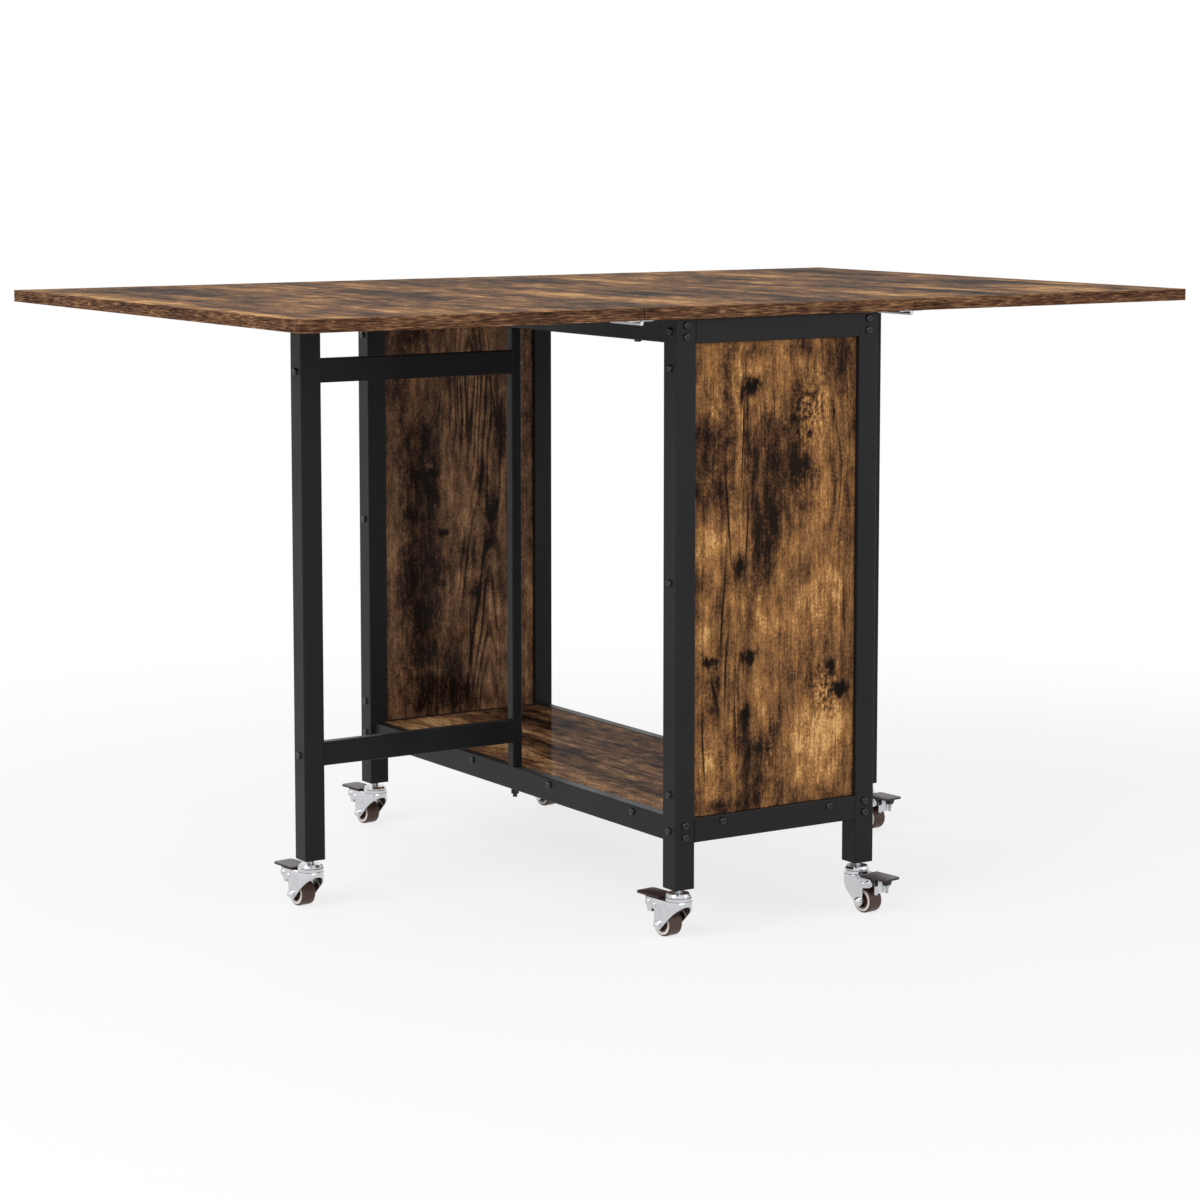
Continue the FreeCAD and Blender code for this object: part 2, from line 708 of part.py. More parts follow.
def caster_fork():
    body = new_body("fork_drawing")
    radius = size("fork_radius")
    sheet_metal = size("fork_sheet")
    ear = size("ear_radius")
    tail = rivet_place.x + ear
    beyond = tail + radius
    plan = new_sketch(body, "XY_Plane", "fork_plan")
    outline(plan, fork_outline(radius, tail))
    pad(body, plan, hood_height)
    inside = new_sketch(body, "XY_Plane", "fork_inside")
    outline(inside, fork_outline(radius - sheet_metal, beyond))
    pocket(body, inside, f"{hood_height} - sizes.fork_sheet", upward=True)
    open_tail = new_sketch(body, "XY_Plane", "fork_open_tail", {"z": "sizes.caster_height"})
    slot = radius - sheet_metal
    plate_end = size("fork_plate_tail")
    outline(open_tail, [(plate_end, -slot), (beyond, -slot), (beyond, slot), (plate_end, slot)])
    pocket(body, open_tail)
    # Seen from the side: a slanted front edge down to the axle eye, and a long ear round the pin and rivet
    eye = size("fork_eye_radius")
    eye_x, eye_z = axle_place.x, axle_place.z
    skirt = (-radius, fork_top - size("fork_skirt"))
    away = math.hypot(eye_x - skirt[0], skirt[1] - eye_z)
    slope = math.atan2(eye_z - skirt[1], eye_x - skirt[0]) - math.asin(eye / away)
    normal = slope - math.pi / 2
    touch = (eye_x + eye * math.cos(normal), eye_z + eye * math.sin(normal))
    lowest = (eye_x + eye * math.cos(normal / 2), eye_z + eye * math.sin(normal / 2))
    back = (eye_x + eye, eye_z)
    ear_bend = math.sqrt(0.5) * ear
    side = new_sketch(body, "XZ_Plane", "fork_side")
    outline(side, [
        (-beyond, skirt[1]),
        skirt,
        touch,
        (lowest, back),
        (back[0], pin_place.z - ear),
        (rivet_place.x, rivet_place.z - ear),
        ((rivet_place.x + ear_bend, rivet_place.z - ear_bend), (tail, rivet_place.z)),
        ((rivet_place.x + ear_bend, rivet_place.z + ear_bend), (rivet_place.x, rivet_place.z + ear)),
        (plate_end, fork_top),
        (beyond, fork_top + eye),
        (beyond, -eye),
        (-beyond, -eye),
    ])
    pocket(body, side, midplane=True)
    bores = new_sketch(body, "XZ_Plane", "fork_bores")
    circle(bores, (eye_x, eye_z), size("axle_radius"))
    circle(bores, (pin_place.x, pin_place.z), size("pedal_pin_radius"))
    circle(bores, (rivet_place.x, rivet_place.z), size("rivet_radius"))
    pocket(body, bores, midplane=True)
    king = new_sketch(body, "XY_Plane", "fork_king_bore", {"z": "sizes.caster_height"})
    circle(king, (0, 0), size("stem_radius") + size("king_pin_play"))
    pocket(body, king)
    return body


def round_pin(name, radius, head_radius, head_height):
    # A pin along Y through both fork cheeks, with a head outside each
    body = new_body(name)
    half = size("fork_radius")
    chamfer = size("pin_head_chamfer")
    sketch = new_sketch(body, "XY_Plane", name + "_half")
    outline(sketch, [
        (0, -half - head_height),
        (head_radius - chamfer, -half - head_height),
        (head_radius, -half - head_height + chamfer),
        (head_radius, -half),
        (radius, -half),
        (radius, half),
        (head_radius, half),
        (head_radius, half + head_height - chamfer),
        (head_radius - chamfer, half + head_height),
        (0, half + head_height),
    ])
    turned(body, sketch)
    return body


def cheek_rivet():
    # A short rivet through the +Y cheek, flush inside
    body = new_body("rivet_drawing")
    outside = size("fork_radius")
    inside = outside - size("fork_sheet")
    radius = size("rivet_radius")
    head = size("rivet_head_radius")
    crown = outside + size("rivet_head_height")
    chamfer = size("pin_head_chamfer")
    sketch = new_sketch(body, "XY_Plane", "rivet_half")
    outline(sketch, [
        (0, inside),
        (radius, inside),
        (radius, outside),
        (head, outside),
        (head, crown - chamfer),
        (head - chamfer, crown),
        (0, crown),
    ])
    turned(body, sketch)
    return body


def wheel_hub():
    body = new_body("hub_drawing")
    sketch = new_sketch(body, "XY_Plane", "hub_half")
    bore = size("axle_radius") + size("axle_play")
    boss = size("hub_boss_radius")
    outer = size("wheel_radius") - size("tread_depth") - size("bond_gap")
    rim = outer - size("hub_rim")
    half = size("wheel_width") / 2
    web = size("hub_web_width") / 2
    boss_half = size("fork_radius") - size("fork_sheet") - size("fork_side_gap")
    outline(sketch, [
        (bore, -boss_half),
        (boss, -boss_half),
        (boss, -web),
        (rim, -web),
        (rim, -half),
        (outer, -half),
        (outer, half),
        (rim, half),
        (rim, web),
        (boss, web),
        (boss, boss_half),
        (bore, boss_half),
    ])
    turned(body, sketch)
    return body


def wheel_tread():
    body = new_body("tread_drawing")
    sketch = new_sketch(body, "XY_Plane", "tread_half")
    outer = size("wheel_radius")
    inner = outer - size("tread_depth")
    half = size("wheel_width") / 2
    curve = size("tread_round")
    bend = curve * (1 - math.sqrt(0.5))
    outline(sketch, [
        (inner, -half),
        (outer - curve, -half),
        ((outer - bend, -half + bend), (outer, -half + curve)),
        (outer, half - curve),
        ((outer - bend, half - bend), (outer - curve, half)),
        (inner, half),
    ])
    turned(body, sketch)
    return body


def brake_pedal():
    body = new_body("pedal_drawing")
    start = size("pedal_start")
    end = size("pedal_end")
    top = fork_top + size("pedal_rise")
    under = top - size("pedal_plate")
    ear = size("cam_hub_radius")
    bend = math.sqrt(0.5) * ear
    half_width = "(sizes.fork_radius - sizes.fork_sheet - sizes.pedal_side_gap)"
    side = new_sketch(body, "XZ_Plane", "pedal_side")
    outline(side, [
        (start, top),
        (start, pin_place.z),
        (pin_place.x - ear, pin_place.z),
        ((pin_place.x - bend, pin_place.z - bend), (pin_place.x, pin_place.z - ear)),
        ((pin_place.x + bend, pin_place.z - bend), (pin_place.x + ear, pin_place.z)),
        (size("pedal_skirt_end"), under),
        (end, under),
        (end, top),
    ])
    paddle = pad(body, side, f"2 * {half_width}", midplane=True)
    tips = []
    for name in long_edges(paddle.Shape, vec(0, 0, 1)):
        if paddle.Shape.getElement(name).BoundBox.XMin > end - size("pedal_wall"):
            tips.append(name)
    rounded(body, paddle, tips, "sizes.pedal_corner_round")
    hollow = new_sketch(body, "XZ_Plane", "pedal_hollow")
    outline(hollow, [
        (start - ear, under),
        (start - ear, pin_place.z - 2 * ear),
        (end - size("pedal_wall"), pin_place.z - 2 * ear),
        (end - size("pedal_wall"), under),
    ])
    pocket(body, hollow, f"2 * ({half_width} - sizes.pedal_wall)", midplane=True)
    # Cam: a lobe straight below the pin, which comes round to the tread as the paddle goes down
    reach = math.hypot(axle_place.x - pin_place.x, axle_place.z - pin_place.z)
    lobe = reach - size("wheel_radius") - size("cam_gap")
    cam = new_sketch(body, "XZ_Plane", "pedal_cam")
    outline(cam, [
        (pin_place.x - ear, under),
        (pin_place.x - ear, pin_place.z),
        (pin_place.x - bend, pin_place.z - lobe + bend),
        ((pin_place.x, pin_place.z - lobe), (pin_place.x + bend, pin_place.z - lobe + bend)),
        (pin_place.x + ear, pin_place.z),
        (pin_place.x + ear, under),
    ])
    pad(body, cam, "sizes.cam_width", midplane=True)
    bore = new_sketch(body, "XZ_Plane", "pedal_bore")
    circle(bore, (pin_place.x, pin_place.z), size("pedal_pin_radius") + size("pedal_pin_play"))
    pocket(body, bore, midplane=True)
    return body


axle = round_pin("axle_drawing", size("axle_radius"), size("axle_head_radius"), size("axle_head_height"))
pedal_pin = round_pin("pedal_pin_drawing", size("pedal_pin_radius"), size("pedal_pin_head_radius"),
                      size("pedal_pin_head_height"))
rivet = cheek_rivet()
stem = caster_stem()
fork = caster_fork()
hub = wheel_hub()
tread = wheel_tread()
pedal = brake_pedal()


def moved(shape, place, turn=0):
    copy = shape.copy()
    copy.Placement = FreeCAD.Placement(place, FreeCAD.Rotation(vec(0, 0, 1), turn)).multiply(copy.Placement)
    return copy


rivets = [moved(rivet.Shape, rivet_place, turn) for turn in (0, 180)]
pins = [moved(axle.Shape, axle_place), moved(pedal_pin.Shape, pin_place)]
caster_shapes = {
    "fork": Part.makeCompound([fork.Shape] + pins + rivets),
    "hub": moved(hub.Shape, axle_place),
    "tread": moved(tread.Shape, axle_place),
    "pedal": pedal.Shape.copy(),
}

gate_x = value(leg_x) + size("gate_reach")
caster_places = {
    "near_left": (-value(leg_x), -value(leg_y), 0),
    "far_left": (-value(leg_x), value(leg_y), 0),
    "gate_left": (-gate_x, 0, 0),
    "near_right": (value(leg_x), -value(leg_y), 180),
    "far_right": (value(leg_x), value(leg_y), 180),
    "gate_right": (gate_x, 0, 180),
}


def caster_placement(name):
    x, y, turn = caster_places[name]
    return FreeCAD.Placement(vec(x, y, 0), FreeCAD.Rotation(vec(0, 0, 1), size("caster_heading") + turn))


def stem_at(name):
    copy = stem.Shape.copy()
    copy.Placement = caster_placement(name)
    return copy


for name in caster_places:
    for part_name, shape in caster_shapes.items():
        piece = set_shape(f"caster_{name}_{part_name}", shape)
        piece.Placement = caster_placement(name).multiply(shape.Placement)
        keep(f"caster_{name}_{part_name}", piece)

base_stems = [stem_at(name) for name in caster_places if not name.startswith("gate")]
keep("base_caster_stems", set_shape("base_caster_stems", Part.makeCompound(base_stems)))
for name in ("gate_left", "gate_right"):
    keep(f"{name}_caster_stem", set_shape(f"{name}_caster_stem", stem_at(name)))

# Every object is checked before anything is written
doc.recompute()
for item in doc.Objects:
    if "Invalid" in item.State or "Error" in item.State:
        raise RuntimeError(f"{item.Name} failed: {item.State}")
for name, piece in nodes.items():
    if piece.Shape.isNull() or not piece.Shape.isValid():
        raise RuntimeError(f"{name} has no valid shape")

os.makedirs("parts", exist_ok=True)
for name, piece in nodes.items():
    piece.Shape.exportStep(f"parts/{name}.step")
print(len(nodes), "nodes written")
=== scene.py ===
import bmesh
import bpy
import json
import math
from mathutils import Matrix, Vector

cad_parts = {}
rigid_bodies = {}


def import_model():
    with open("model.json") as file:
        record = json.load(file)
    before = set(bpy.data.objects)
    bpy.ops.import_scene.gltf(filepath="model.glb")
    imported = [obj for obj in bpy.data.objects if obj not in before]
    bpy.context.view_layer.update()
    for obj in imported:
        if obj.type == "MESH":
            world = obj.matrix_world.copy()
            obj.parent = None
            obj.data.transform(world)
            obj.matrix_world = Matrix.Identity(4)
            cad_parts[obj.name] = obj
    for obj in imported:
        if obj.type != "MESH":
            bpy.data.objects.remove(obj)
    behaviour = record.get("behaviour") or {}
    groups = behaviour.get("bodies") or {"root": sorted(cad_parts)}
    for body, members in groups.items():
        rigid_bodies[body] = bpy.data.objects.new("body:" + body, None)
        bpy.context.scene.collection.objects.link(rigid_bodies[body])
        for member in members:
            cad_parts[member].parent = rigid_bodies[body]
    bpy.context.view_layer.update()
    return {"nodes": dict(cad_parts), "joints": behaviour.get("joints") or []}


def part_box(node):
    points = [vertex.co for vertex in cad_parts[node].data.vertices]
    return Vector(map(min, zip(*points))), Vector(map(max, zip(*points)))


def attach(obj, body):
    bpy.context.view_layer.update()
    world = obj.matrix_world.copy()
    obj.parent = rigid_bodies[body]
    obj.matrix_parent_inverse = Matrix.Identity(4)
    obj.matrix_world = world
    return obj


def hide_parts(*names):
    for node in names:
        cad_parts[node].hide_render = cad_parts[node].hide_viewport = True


# A drop-leaf dining table on casters: smoked oak boards on a black tube frame.
# Blender units are metres. The dictionaries below hold millimetres and degrees.

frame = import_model()
nodes = frame["nodes"]
joints = {joint["name"]: joint for joint in frame["joints"]}
mm = 0.001
print("frame loaded:", len(nodes), "nodes")


# Shader helpers
def linear(code):
    # sRGB hex colour to linear RGBA
    parts = [int(code[i:i + 2], 16) / 255 for i in (1, 3, 5)]
    return [p / 12.92 if p <= 0.04045 else ((p + 0.055) / 1.055) ** 2.4 for p in parts] + [1.0]


def addNode(tree, kind, inputs=None, stops=None, **settings):
    # Adds one node: settings are its own fields, inputs are values or links, stops fill a colour ramp
    node = tree.nodes.new("ShaderNode" + kind)
    for name, setting in settings.items():
        setattr(node, name, setting)
    for socket, source in (inputs or {}).items():
        if isinstance(source, bpy.types.Node):
            source = source.outputs[0]
        if isinstance(source, bpy.types.NodeSocket):
            tree.links.new(source, node.inputs[socket])
        else:
            node.inputs[socket].default_value = source
    if stops:
        elements = node.color_ramp.elements
        while len(elements) < len(stops):
            elements.new(1.0)
        for element, (place, colour) in zip(elements, stops):
            element.position = place
            element.color = linear(colour)
    return node


def newMaterial(name, **values):
    # values are plain settings of the surface, with _ for a space in the socket's name
    material = bpy.data.materials.new(name)
    material.use_nodes = True
    tree = material.node_tree
    shader = tree.nodes["Principled BSDF"]
    for socket, setting in values.items():
        shader.inputs[socket.replace("_", " ")].default_value = setting
    return material, tree, shader


def connect(tree, shader, links):
    for socket, node in links.items():
        tree.links.new(node.outputs[0], shader.inputs[socket])


# Smoked oak: a printed and embossed melamine face on particle board.
# It gives honey-brown clouds, soft smoky stains, ragged knots, long cracks, saw marks and a thin sheen.
oakLook = {
    "tones": ((0.0, "#1f150f"), (0.18, "#3d291c"), (0.36, "#5c3f28"), (0.52, "#795434"), (0.68, "#93683e"),
              (0.84, "#af7d4b"), (1.0, "#d8a86b")),
    "middleTone": 0.5,
    "black": "#150e0a",
    "roughness": 0.62,
    "coat": 0.09,
    "coatRoughness": 0.1,
    "emboss": 0.1,
    "embossStrength": 0.5,
    # A pattern has its size in mm across and along the grain, then its detail.
    # Layers end with how far they move the tone.
    "layers": {
        "clouds": (46, 90, 5, 1.0),
        "bands": (20, 420, 4, 0.8),
        "streaks": (4.8, 120, 5, 0.65),
        "mottle": (11, 28, 10, 1.25),
        "fibres": (1.8, 26, 4, 0.5),
        "grit": (2.6, 3.8, 5, 1.0),
    },
    "printRough": 0.62,
    "fineLimit": 5,                # only wider patterns get coarser on a large board
    "wave": (80, 260, 2),
    "waveShift": 14,
    "saw": (13, 2.1, 2),           # dashes across the grain
    "sawShare": 0.7,
    "sawPatch": (60, 80, 2),
    "sawPatchRange": (0.45, 0.75),
    "rings": (44, 300, 0.5),       # size of the flames
    "ringCount": 13,
    "ringRange": (-0.2, 1.0),
    "ringTones": (0.2, -1.0),
    "ringShare": 0.42,
    "burl": (4.5, 6, 3),           # specks in a burl
    "burlShare": 3.2,
    "ragged": (10, 17, 10),
    "raggedRough": 0.7,
    # Share of the ragged pattern in a field, and where its rim starts and ends
    "stainRim": (1.5, 0.05, 0.9),
    "glowRim": (1.2, 0.1, 1.0),
    "knotRim": (1.9, 0.35, 0.8),
    "spotReach": 1.7,              # a soft spot ends at this share of its half size
    "knotSmoke": 0.6,
    "darkest": 0.46,
    "lightest": 0.36,
    "pores": (1.4, 6, 2),
    "hairs": (1.7, 150, 1),        # long thin dark lines, real ones are finer
    # Where black starts, where it is full and how black it gets
    "poreBlack": (0.58, 0.72, 0.6),
    "hairBlack": (0.62, 0.74, 0.6),
    "crackBlack": (1.3, 0.35, 0.92),
    # Steps that keep the patterns apart
    "steps": {"wave": 31, "ragged": 37, "rings": 41, "pores": 43, "sawPatch": 47, "saw": 53, "burl": 59,
              "hairs": 61},
}


def mapped(tree, point, x, y, width, length, tilt=0.0):
    # Distance from a place, 1.0 on the rim of an ellipse of that half width and half length
    local = addNode(tree, "Mapping", {
        "Vector": point, "Location": (x, y, 0), "Rotation": (0, 0, math.radians(tilt)),
        "Scale": (width, length, 1)}, vector_type="TEXTURE")
    return addNode(tree, "VectorMath", {0: local}, operation="LENGTH").outputs["Value"]


def gathered(tree, point, marks, reach=oakLook["spotReach"]):
    # Sum of soft spots, each with its strength in its middle and nothing past its reach
    total = 0.0
    for x, y, width, length, strength in marks:
        distance = mapped(tree, point, x, y, width, length)
        spot = addNode(tree, "MapRange", {0: distance, 1: reach, 2: 0.0, 3: 0.0, 4: strength},
                       interpolation_type="SMOOTHSTEP")
        total = addNode(tree, "Math", {0: spot, 1: total}, operation="ADD")
    return total


def smokedOak(name, across, along, seed, board, look=oakLook, coarse=1.0):
    # board lists the marks that are placed one by one, in mm in the board's plane
    material, tree, shader = newMaterial(
        name, Roughness=look["roughness"], Specular_IOR_Level=0.0,
        Coat_Weight=look["coat"], Coat_Roughness=look["coatRoughness"])
    steps = look["steps"]
    place = addNode(tree, "TexCoord")
    axes = addNode(tree, "SeparateXYZ", {0: place.outputs["Object"]})
    flat = addNode(tree, "CombineXYZ", {0: axes.outputs[across], 1: axes.outputs[along]})
    flat = addNode(tree, "VectorMath", {0: flat, 1: (1 / mm, 1 / mm, 0)}, operation="MULTIPLY")

    def printed(point, pattern, step, rough=look["printRough"]):
        acrossSize, alongSize, detail = pattern
        scale = coarse if acrossSize > look["fineLimit"] else 1.0
        stretched = addNode(tree, "VectorMath", {
            0: point, 1: (1 / (scale * acrossSize), 1 / (scale * alongSize), 0), 2: (0, 0, seed + step)},
            operation="MULTIPLY_ADD")
        return addNode(tree, "TexNoise", {
            "Vector": stretched, "Scale": 1.0, "Detail": detail, "Roughness": rough})

    def moved(tone, change, share):
        return addNode(tree, "Math", {0: change, 1: share, 2: tone}, operation="MULTIPLY_ADD")

    def signed(noise):
        return addNode(tree, "Math", {0: noise, 1: 0.5}, operation="SUBTRACT")

    # The grain wanders from side to side
    wander = printed(flat, look["wave"], steps["wave"])
    bent = addNode(tree, "VectorMath", {
        0: wander.outputs["Color"], 1: (coarse * look["waveShift"], 0, 0), 2: flat},
        operation="MULTIPLY_ADD")

    # Tone from the printed layers
    tone = look["middleTone"]
    layers = {}
    for step, (label, (*pattern, share)) in enumerate(look["layers"].items()):
        layers[label] = signed(printed(bent, pattern, step))
        tone = moved(tone, layers[label], share * board["contrast"])

    # Saw marks across the grain, in patches
    patchFrom, patchTo = look["sawPatchRange"]
    patch = printed(flat, look["sawPatch"], steps["sawPatch"])
    patch = addNode(tree, "MapRange", {0: patch, 1: patchFrom, 2: patchTo, 3: 0.0, 4: 1.0})
    saw = signed(printed(bent, look["saw"], steps["saw"]))
    saw = addNode(tree, "Math", {0: saw, 1: patch}, operation="MULTIPLY")
    tone = moved(tone, saw, look["sawShare"])

    # Flame-shaped growth rings, in places
    ringLow, ringHigh = look["ringRange"]
    ringPale, ringDark = look["ringTones"]
    ring = printed(bent, look["rings"], steps["rings"])
    ring = addNode(tree, "Math", {0: ring, 1: 2 * math.pi * look["ringCount"]}, operation="MULTIPLY")
    ring = addNode(tree, "Math", {0: ring}, operation="SINE")
    ring = addNode(tree, "MapRange", {0: ring, 1: ringLow, 2: ringHigh, 3: ringPale, 4: ringDark})
    ring = addNode(tree, "Math", {0: ring, 1: gathered(tree, bent, board["flames"])}, operation="MULTIPLY")
    tone = moved(tone, ring, look["ringShare"])

    # Burls are clusters of bright and dark specks
    specks = signed(printed(flat, look["burl"], steps["burl"]))
    burl = addNode(tree, "Math", {0: specks, 1: gathered(tree, bent, board["burls"])}, operation="MULTIPLY")
    tone = moved(tone, burl, look["burlShare"])

    # Stains darken and glows lighten the tone. A ragged pattern joins each field before its rim is cut.
    ragged = signed(printed(bent, look["ragged"], steps["ragged"], look["raggedRough"]))

    def cutRim(field, rim):
        raggedShare, low, high = rim
        field = moved(field, ragged, raggedShare)
        return addNode(tree, "MapRange", {0: field, 1: low, 2: high, 3: 0.0, 4: 1.0},
                       interpolation_type="SMOOTHSTEP")

    knots = gathered(tree, bent, board["knots"])
    smoke = moved(gathered(tree, bent, board["stains"]), knots, look["knotSmoke"])
    glow = gathered(tree, bent, board["glows"])
    tone = moved(tone, cutRim(smoke, look["stainRim"]), -look["darkest"])
    tone = moved(tone, cutRim(glow, look["glowRim"]), look["lightest"])
    # Each board's tone is lifted by a constant. On the shelf the lift is raised as painted light where the
    # gate shades it. On the far panel, which faces into the frame, it is kept smaller as painted shade.
    tone = addNode(tree, "Math", {0: tone, 1: board["toneLiftAndPaintedLight"]}, operation="ADD", use_clamp=True)
    colour = addNode(tree, "ValToRGB", {0: tone}, stops=look["tones"])
    # A saturation below 1 greys the far panel and the shelf. This is painted sheen, standing in for the
    # white light that their faces reflect.
    colour = addNode(tree, "HueSaturation", {"Color": colour, "Saturation": board["paintedSheenSaturation"]})

    # Open pores, thin lines, knots and cracks are nearly black
    def blackened(field, limits):
        begin, full, share = limits
        return addNode(tree, "MapRange", {0: field, 1: begin, 2: full, 3: 0.0, 4: share},
                       interpolation_type="SMOOTHSTEP")

    marks = [
        blackened(printed(bent, look["hairs"], steps["hairs"]), look["hairBlack"]),
        cutRim(knots, look["knotRim"]),
    ]
    for x, y, width, length, tilt in board["cracks"]:
        marks.append(blackened(mapped(tree, bent, x, y, width, length, tilt), look["crackBlack"]))
    black = blackened(printed(bent, look["pores"], steps["pores"]), look["poreBlack"])
    for mark in marks:
        black = addNode(tree, "Math", {0: black, 1: mark}, operation="MAXIMUM")
    colour = addNode(tree, "MixRGB", {"Fac": black, "Color1": colour, "Color2": linear(look["black"])})

    relief = addNode(tree, "Math", {0: layers["fibres"], 1: black}, operation="SUBTRACT")
    bump = addNode(tree, "Bump", {
        "Height": relief, "Strength": look["embossStrength"], "Distance": look["emboss"] * mm})
    connect(tree, shader, {"Base Color": colour, "Normal": bump})
    return material


# Flames, stains, glows, knots and burls: middle across and along, half width, half length, strength.
# Cracks end in a tilt instead.
nearPanelBoard = {
    "toneLiftAndPaintedLight": 0.06, "contrast": 1.0, "paintedSheenSaturation": 1.0,
    "flames": ((-44, 600, 20, 130, 0.6), (104, 560, 20, 130, 0.5), (-50, 300, 20, 90, 0.4)),
    "stains": (
        (2, 596, 36, 40, 0.8), (-4, 530, 36, 54, 0.85), (-10, 450, 22, 60, 0.8),
        (-102, 590, 34, 50, 0.9), (-88, 530, 38, 30, 0.6), (48, 562, 26, 20, 0.6),
        (56, 522, 18, 34, 0.4), (48, 632, 26, 34, 0.35), (108, 690, 14, 44, 0.6), (84, 694, 9, 34, 0.4),
        (-84, 290, 12, 40, 0.5), (-36, 232, 12, 50, 0.6), (-14, 216, 18, 26, 0.5),
        (-18, 172, 40, 24, 0.6), (-70, 156, 46, 10, 0.6), (-118, 165, 8, 26, 0.7),
        (20, 300, 24, 44, 0.25), (-24, 706, 40, 12, 0.4), (-60, 640, 30, 60, 0.2),
        (40, 706, 24, 12, 0.4), (-106, 426, 14, 10, 0.5), (-46, 446, 9, 18, 0.4),
        (10, 240, 30, 16, 0.3), (70, 684, 40, 36, 0.3), (-76, 676, 40, 36, 0.25),
        (76, 560, 34, 70, 0.12),
    ),
    "glows": (
        (-100, 364, 18, 20, 0.75), (-104, 410, 18, 44, 0.6), (-96, 478, 26, 24, 0.6),
        (98, 230, 30, 50, 0.75), (-44, 600, 5, 80, 0.7), (64, 394, 30, 40, 0.5),
        (104, 430, 18, 70, 0.5), (6, 368, 40, 30, 0.45), (-62, 500, 10, 50, 0.4),
        (92, 600, 16, 60, 0.2), (-90, 208, 22, 50, 0.8), (46, 240, 40, 44, 0.7),
        (-100, 690, 20, 30, 0.2), (-26, 645, 6, 8, 0.8), (72, 178, 44, 16, 0.6), (34, 330, 40, 30, 0.4),
    ),
    "knots": (
        (-28, 664, 19, 13, 0.9), (-44, 648, 4, 14, 0.7), (-49, 446, 9, 19, 0.75),
        (-30, 336, 17, 13, 0.85), (-90, 334, 16, 9, 0.8), (-76, 316, 6, 18, 0.5),
        (-34, 266, 10, 15, 0.75), (92, 312, 10, 14, 0.9), (107, 284, 17, 14, 0.95),
        (95, 628, 3, 6, 0.7), (44, 566, 12, 9, 0.55), (-10, 224, 14, 5, 0.5), (62, 650, 12, 6, 0.5),
        (36, 622, 9, 5, 0.55), (58, 602, 9, 6, 0.5), (-112, 240, 5, 4, 0.6),
    ),
    "burls": (
        (56, 636, 26, 34, 0.9), (84, 282, 22, 34, 1.0), (-4, 224, 24, 18, 0.5), (50, 560, 20, 40, 0.4),
    ),
    "cracks": (
        (-64, 520, 2.0, 84, 3), (-70, 400, 2.2, 80, -2), (-64, 320, 2.0, 60, -3),
        (-42, 600, 1.8, 90, -2), (-34, 610, 1.4, 60, 1), (-98, 230, 1.6, 60, 2),
        (-80, 290, 2.6, 34, 12), (-50, 250, 1.2, 46, 1), (-36, 480, 1.6, 60, -3),
        (112, 380, 1.2, 46, 2),
    ),
}
farPanelBoard = {
    # The far panel's small tone lift is painted shade, and its lowered saturation is painted sheen.
    "toneLiftAndPaintedLight": 0.02, "contrast": 0.9, "paintedSheenSaturation": 0.87,
    "flames": ((30, 600, 44, 110, 1.0), (40, 300, 36, 130, 1.0), (70, 450, 30, 90, 0.6)),
    "stains": (
        (-58, 535, 32, 50, 0.9), (-54, 470, 28, 44, 0.7), (-62, 400, 32, 70, 0.75),
        (-50, 325, 38, 56, 0.9), (72, 545, 12, 44, 0.7), (12, 548, 20, 18, 0.5), (40, 490, 8, 30, 0.8),
        (56, 440, 15, 44, 0.8), (14, 374, 16, 30, 0.6), (46, 372, 16, 30, 0.6), (30, 320, 20, 24, 0.5),
        (-40, 225, 64, 50, 0.7), (-20, 170, 76, 30, 0.6), (-95, 610, 18, 44, 0.5),
        (35, 685, 22, 44, 0.5), (-70, 690, 44, 44, 0.6),
    ),
    "glows": (
        (-16, 520, 24, 60, 0.6), (-12, 450, 20, 40, 0.4), (22, 450, 12, 50, 0.5),
        (38, 560, 14, 40, 0.5), (66, 370, 10, 60, 0.4), (36, 230, 12, 40, 0.5),
        (-110, 450, 14, 170, 0.5), (-44, 503, 6, 6, 0.9),
    ),
    "knots": (
        (-40, 491, 15, 6, 0.8), (-18, 407, 11, 6, 0.75), (35, 322, 8, 14, 0.6), (-34, 352, 10, 6, 0.6),
        (-24, 335, 8, 5, 0.5),
    ),
    "burls": ((-44, 500, 14, 12, 0.5),),
    "cracks": (
        (6, 600, 1.4, 60, 2), (20, 590, 1.4, 50, -3), (62, 590, 1.4, 40, 10), (24, 250, 1.6, 60, 2),
    ),
}
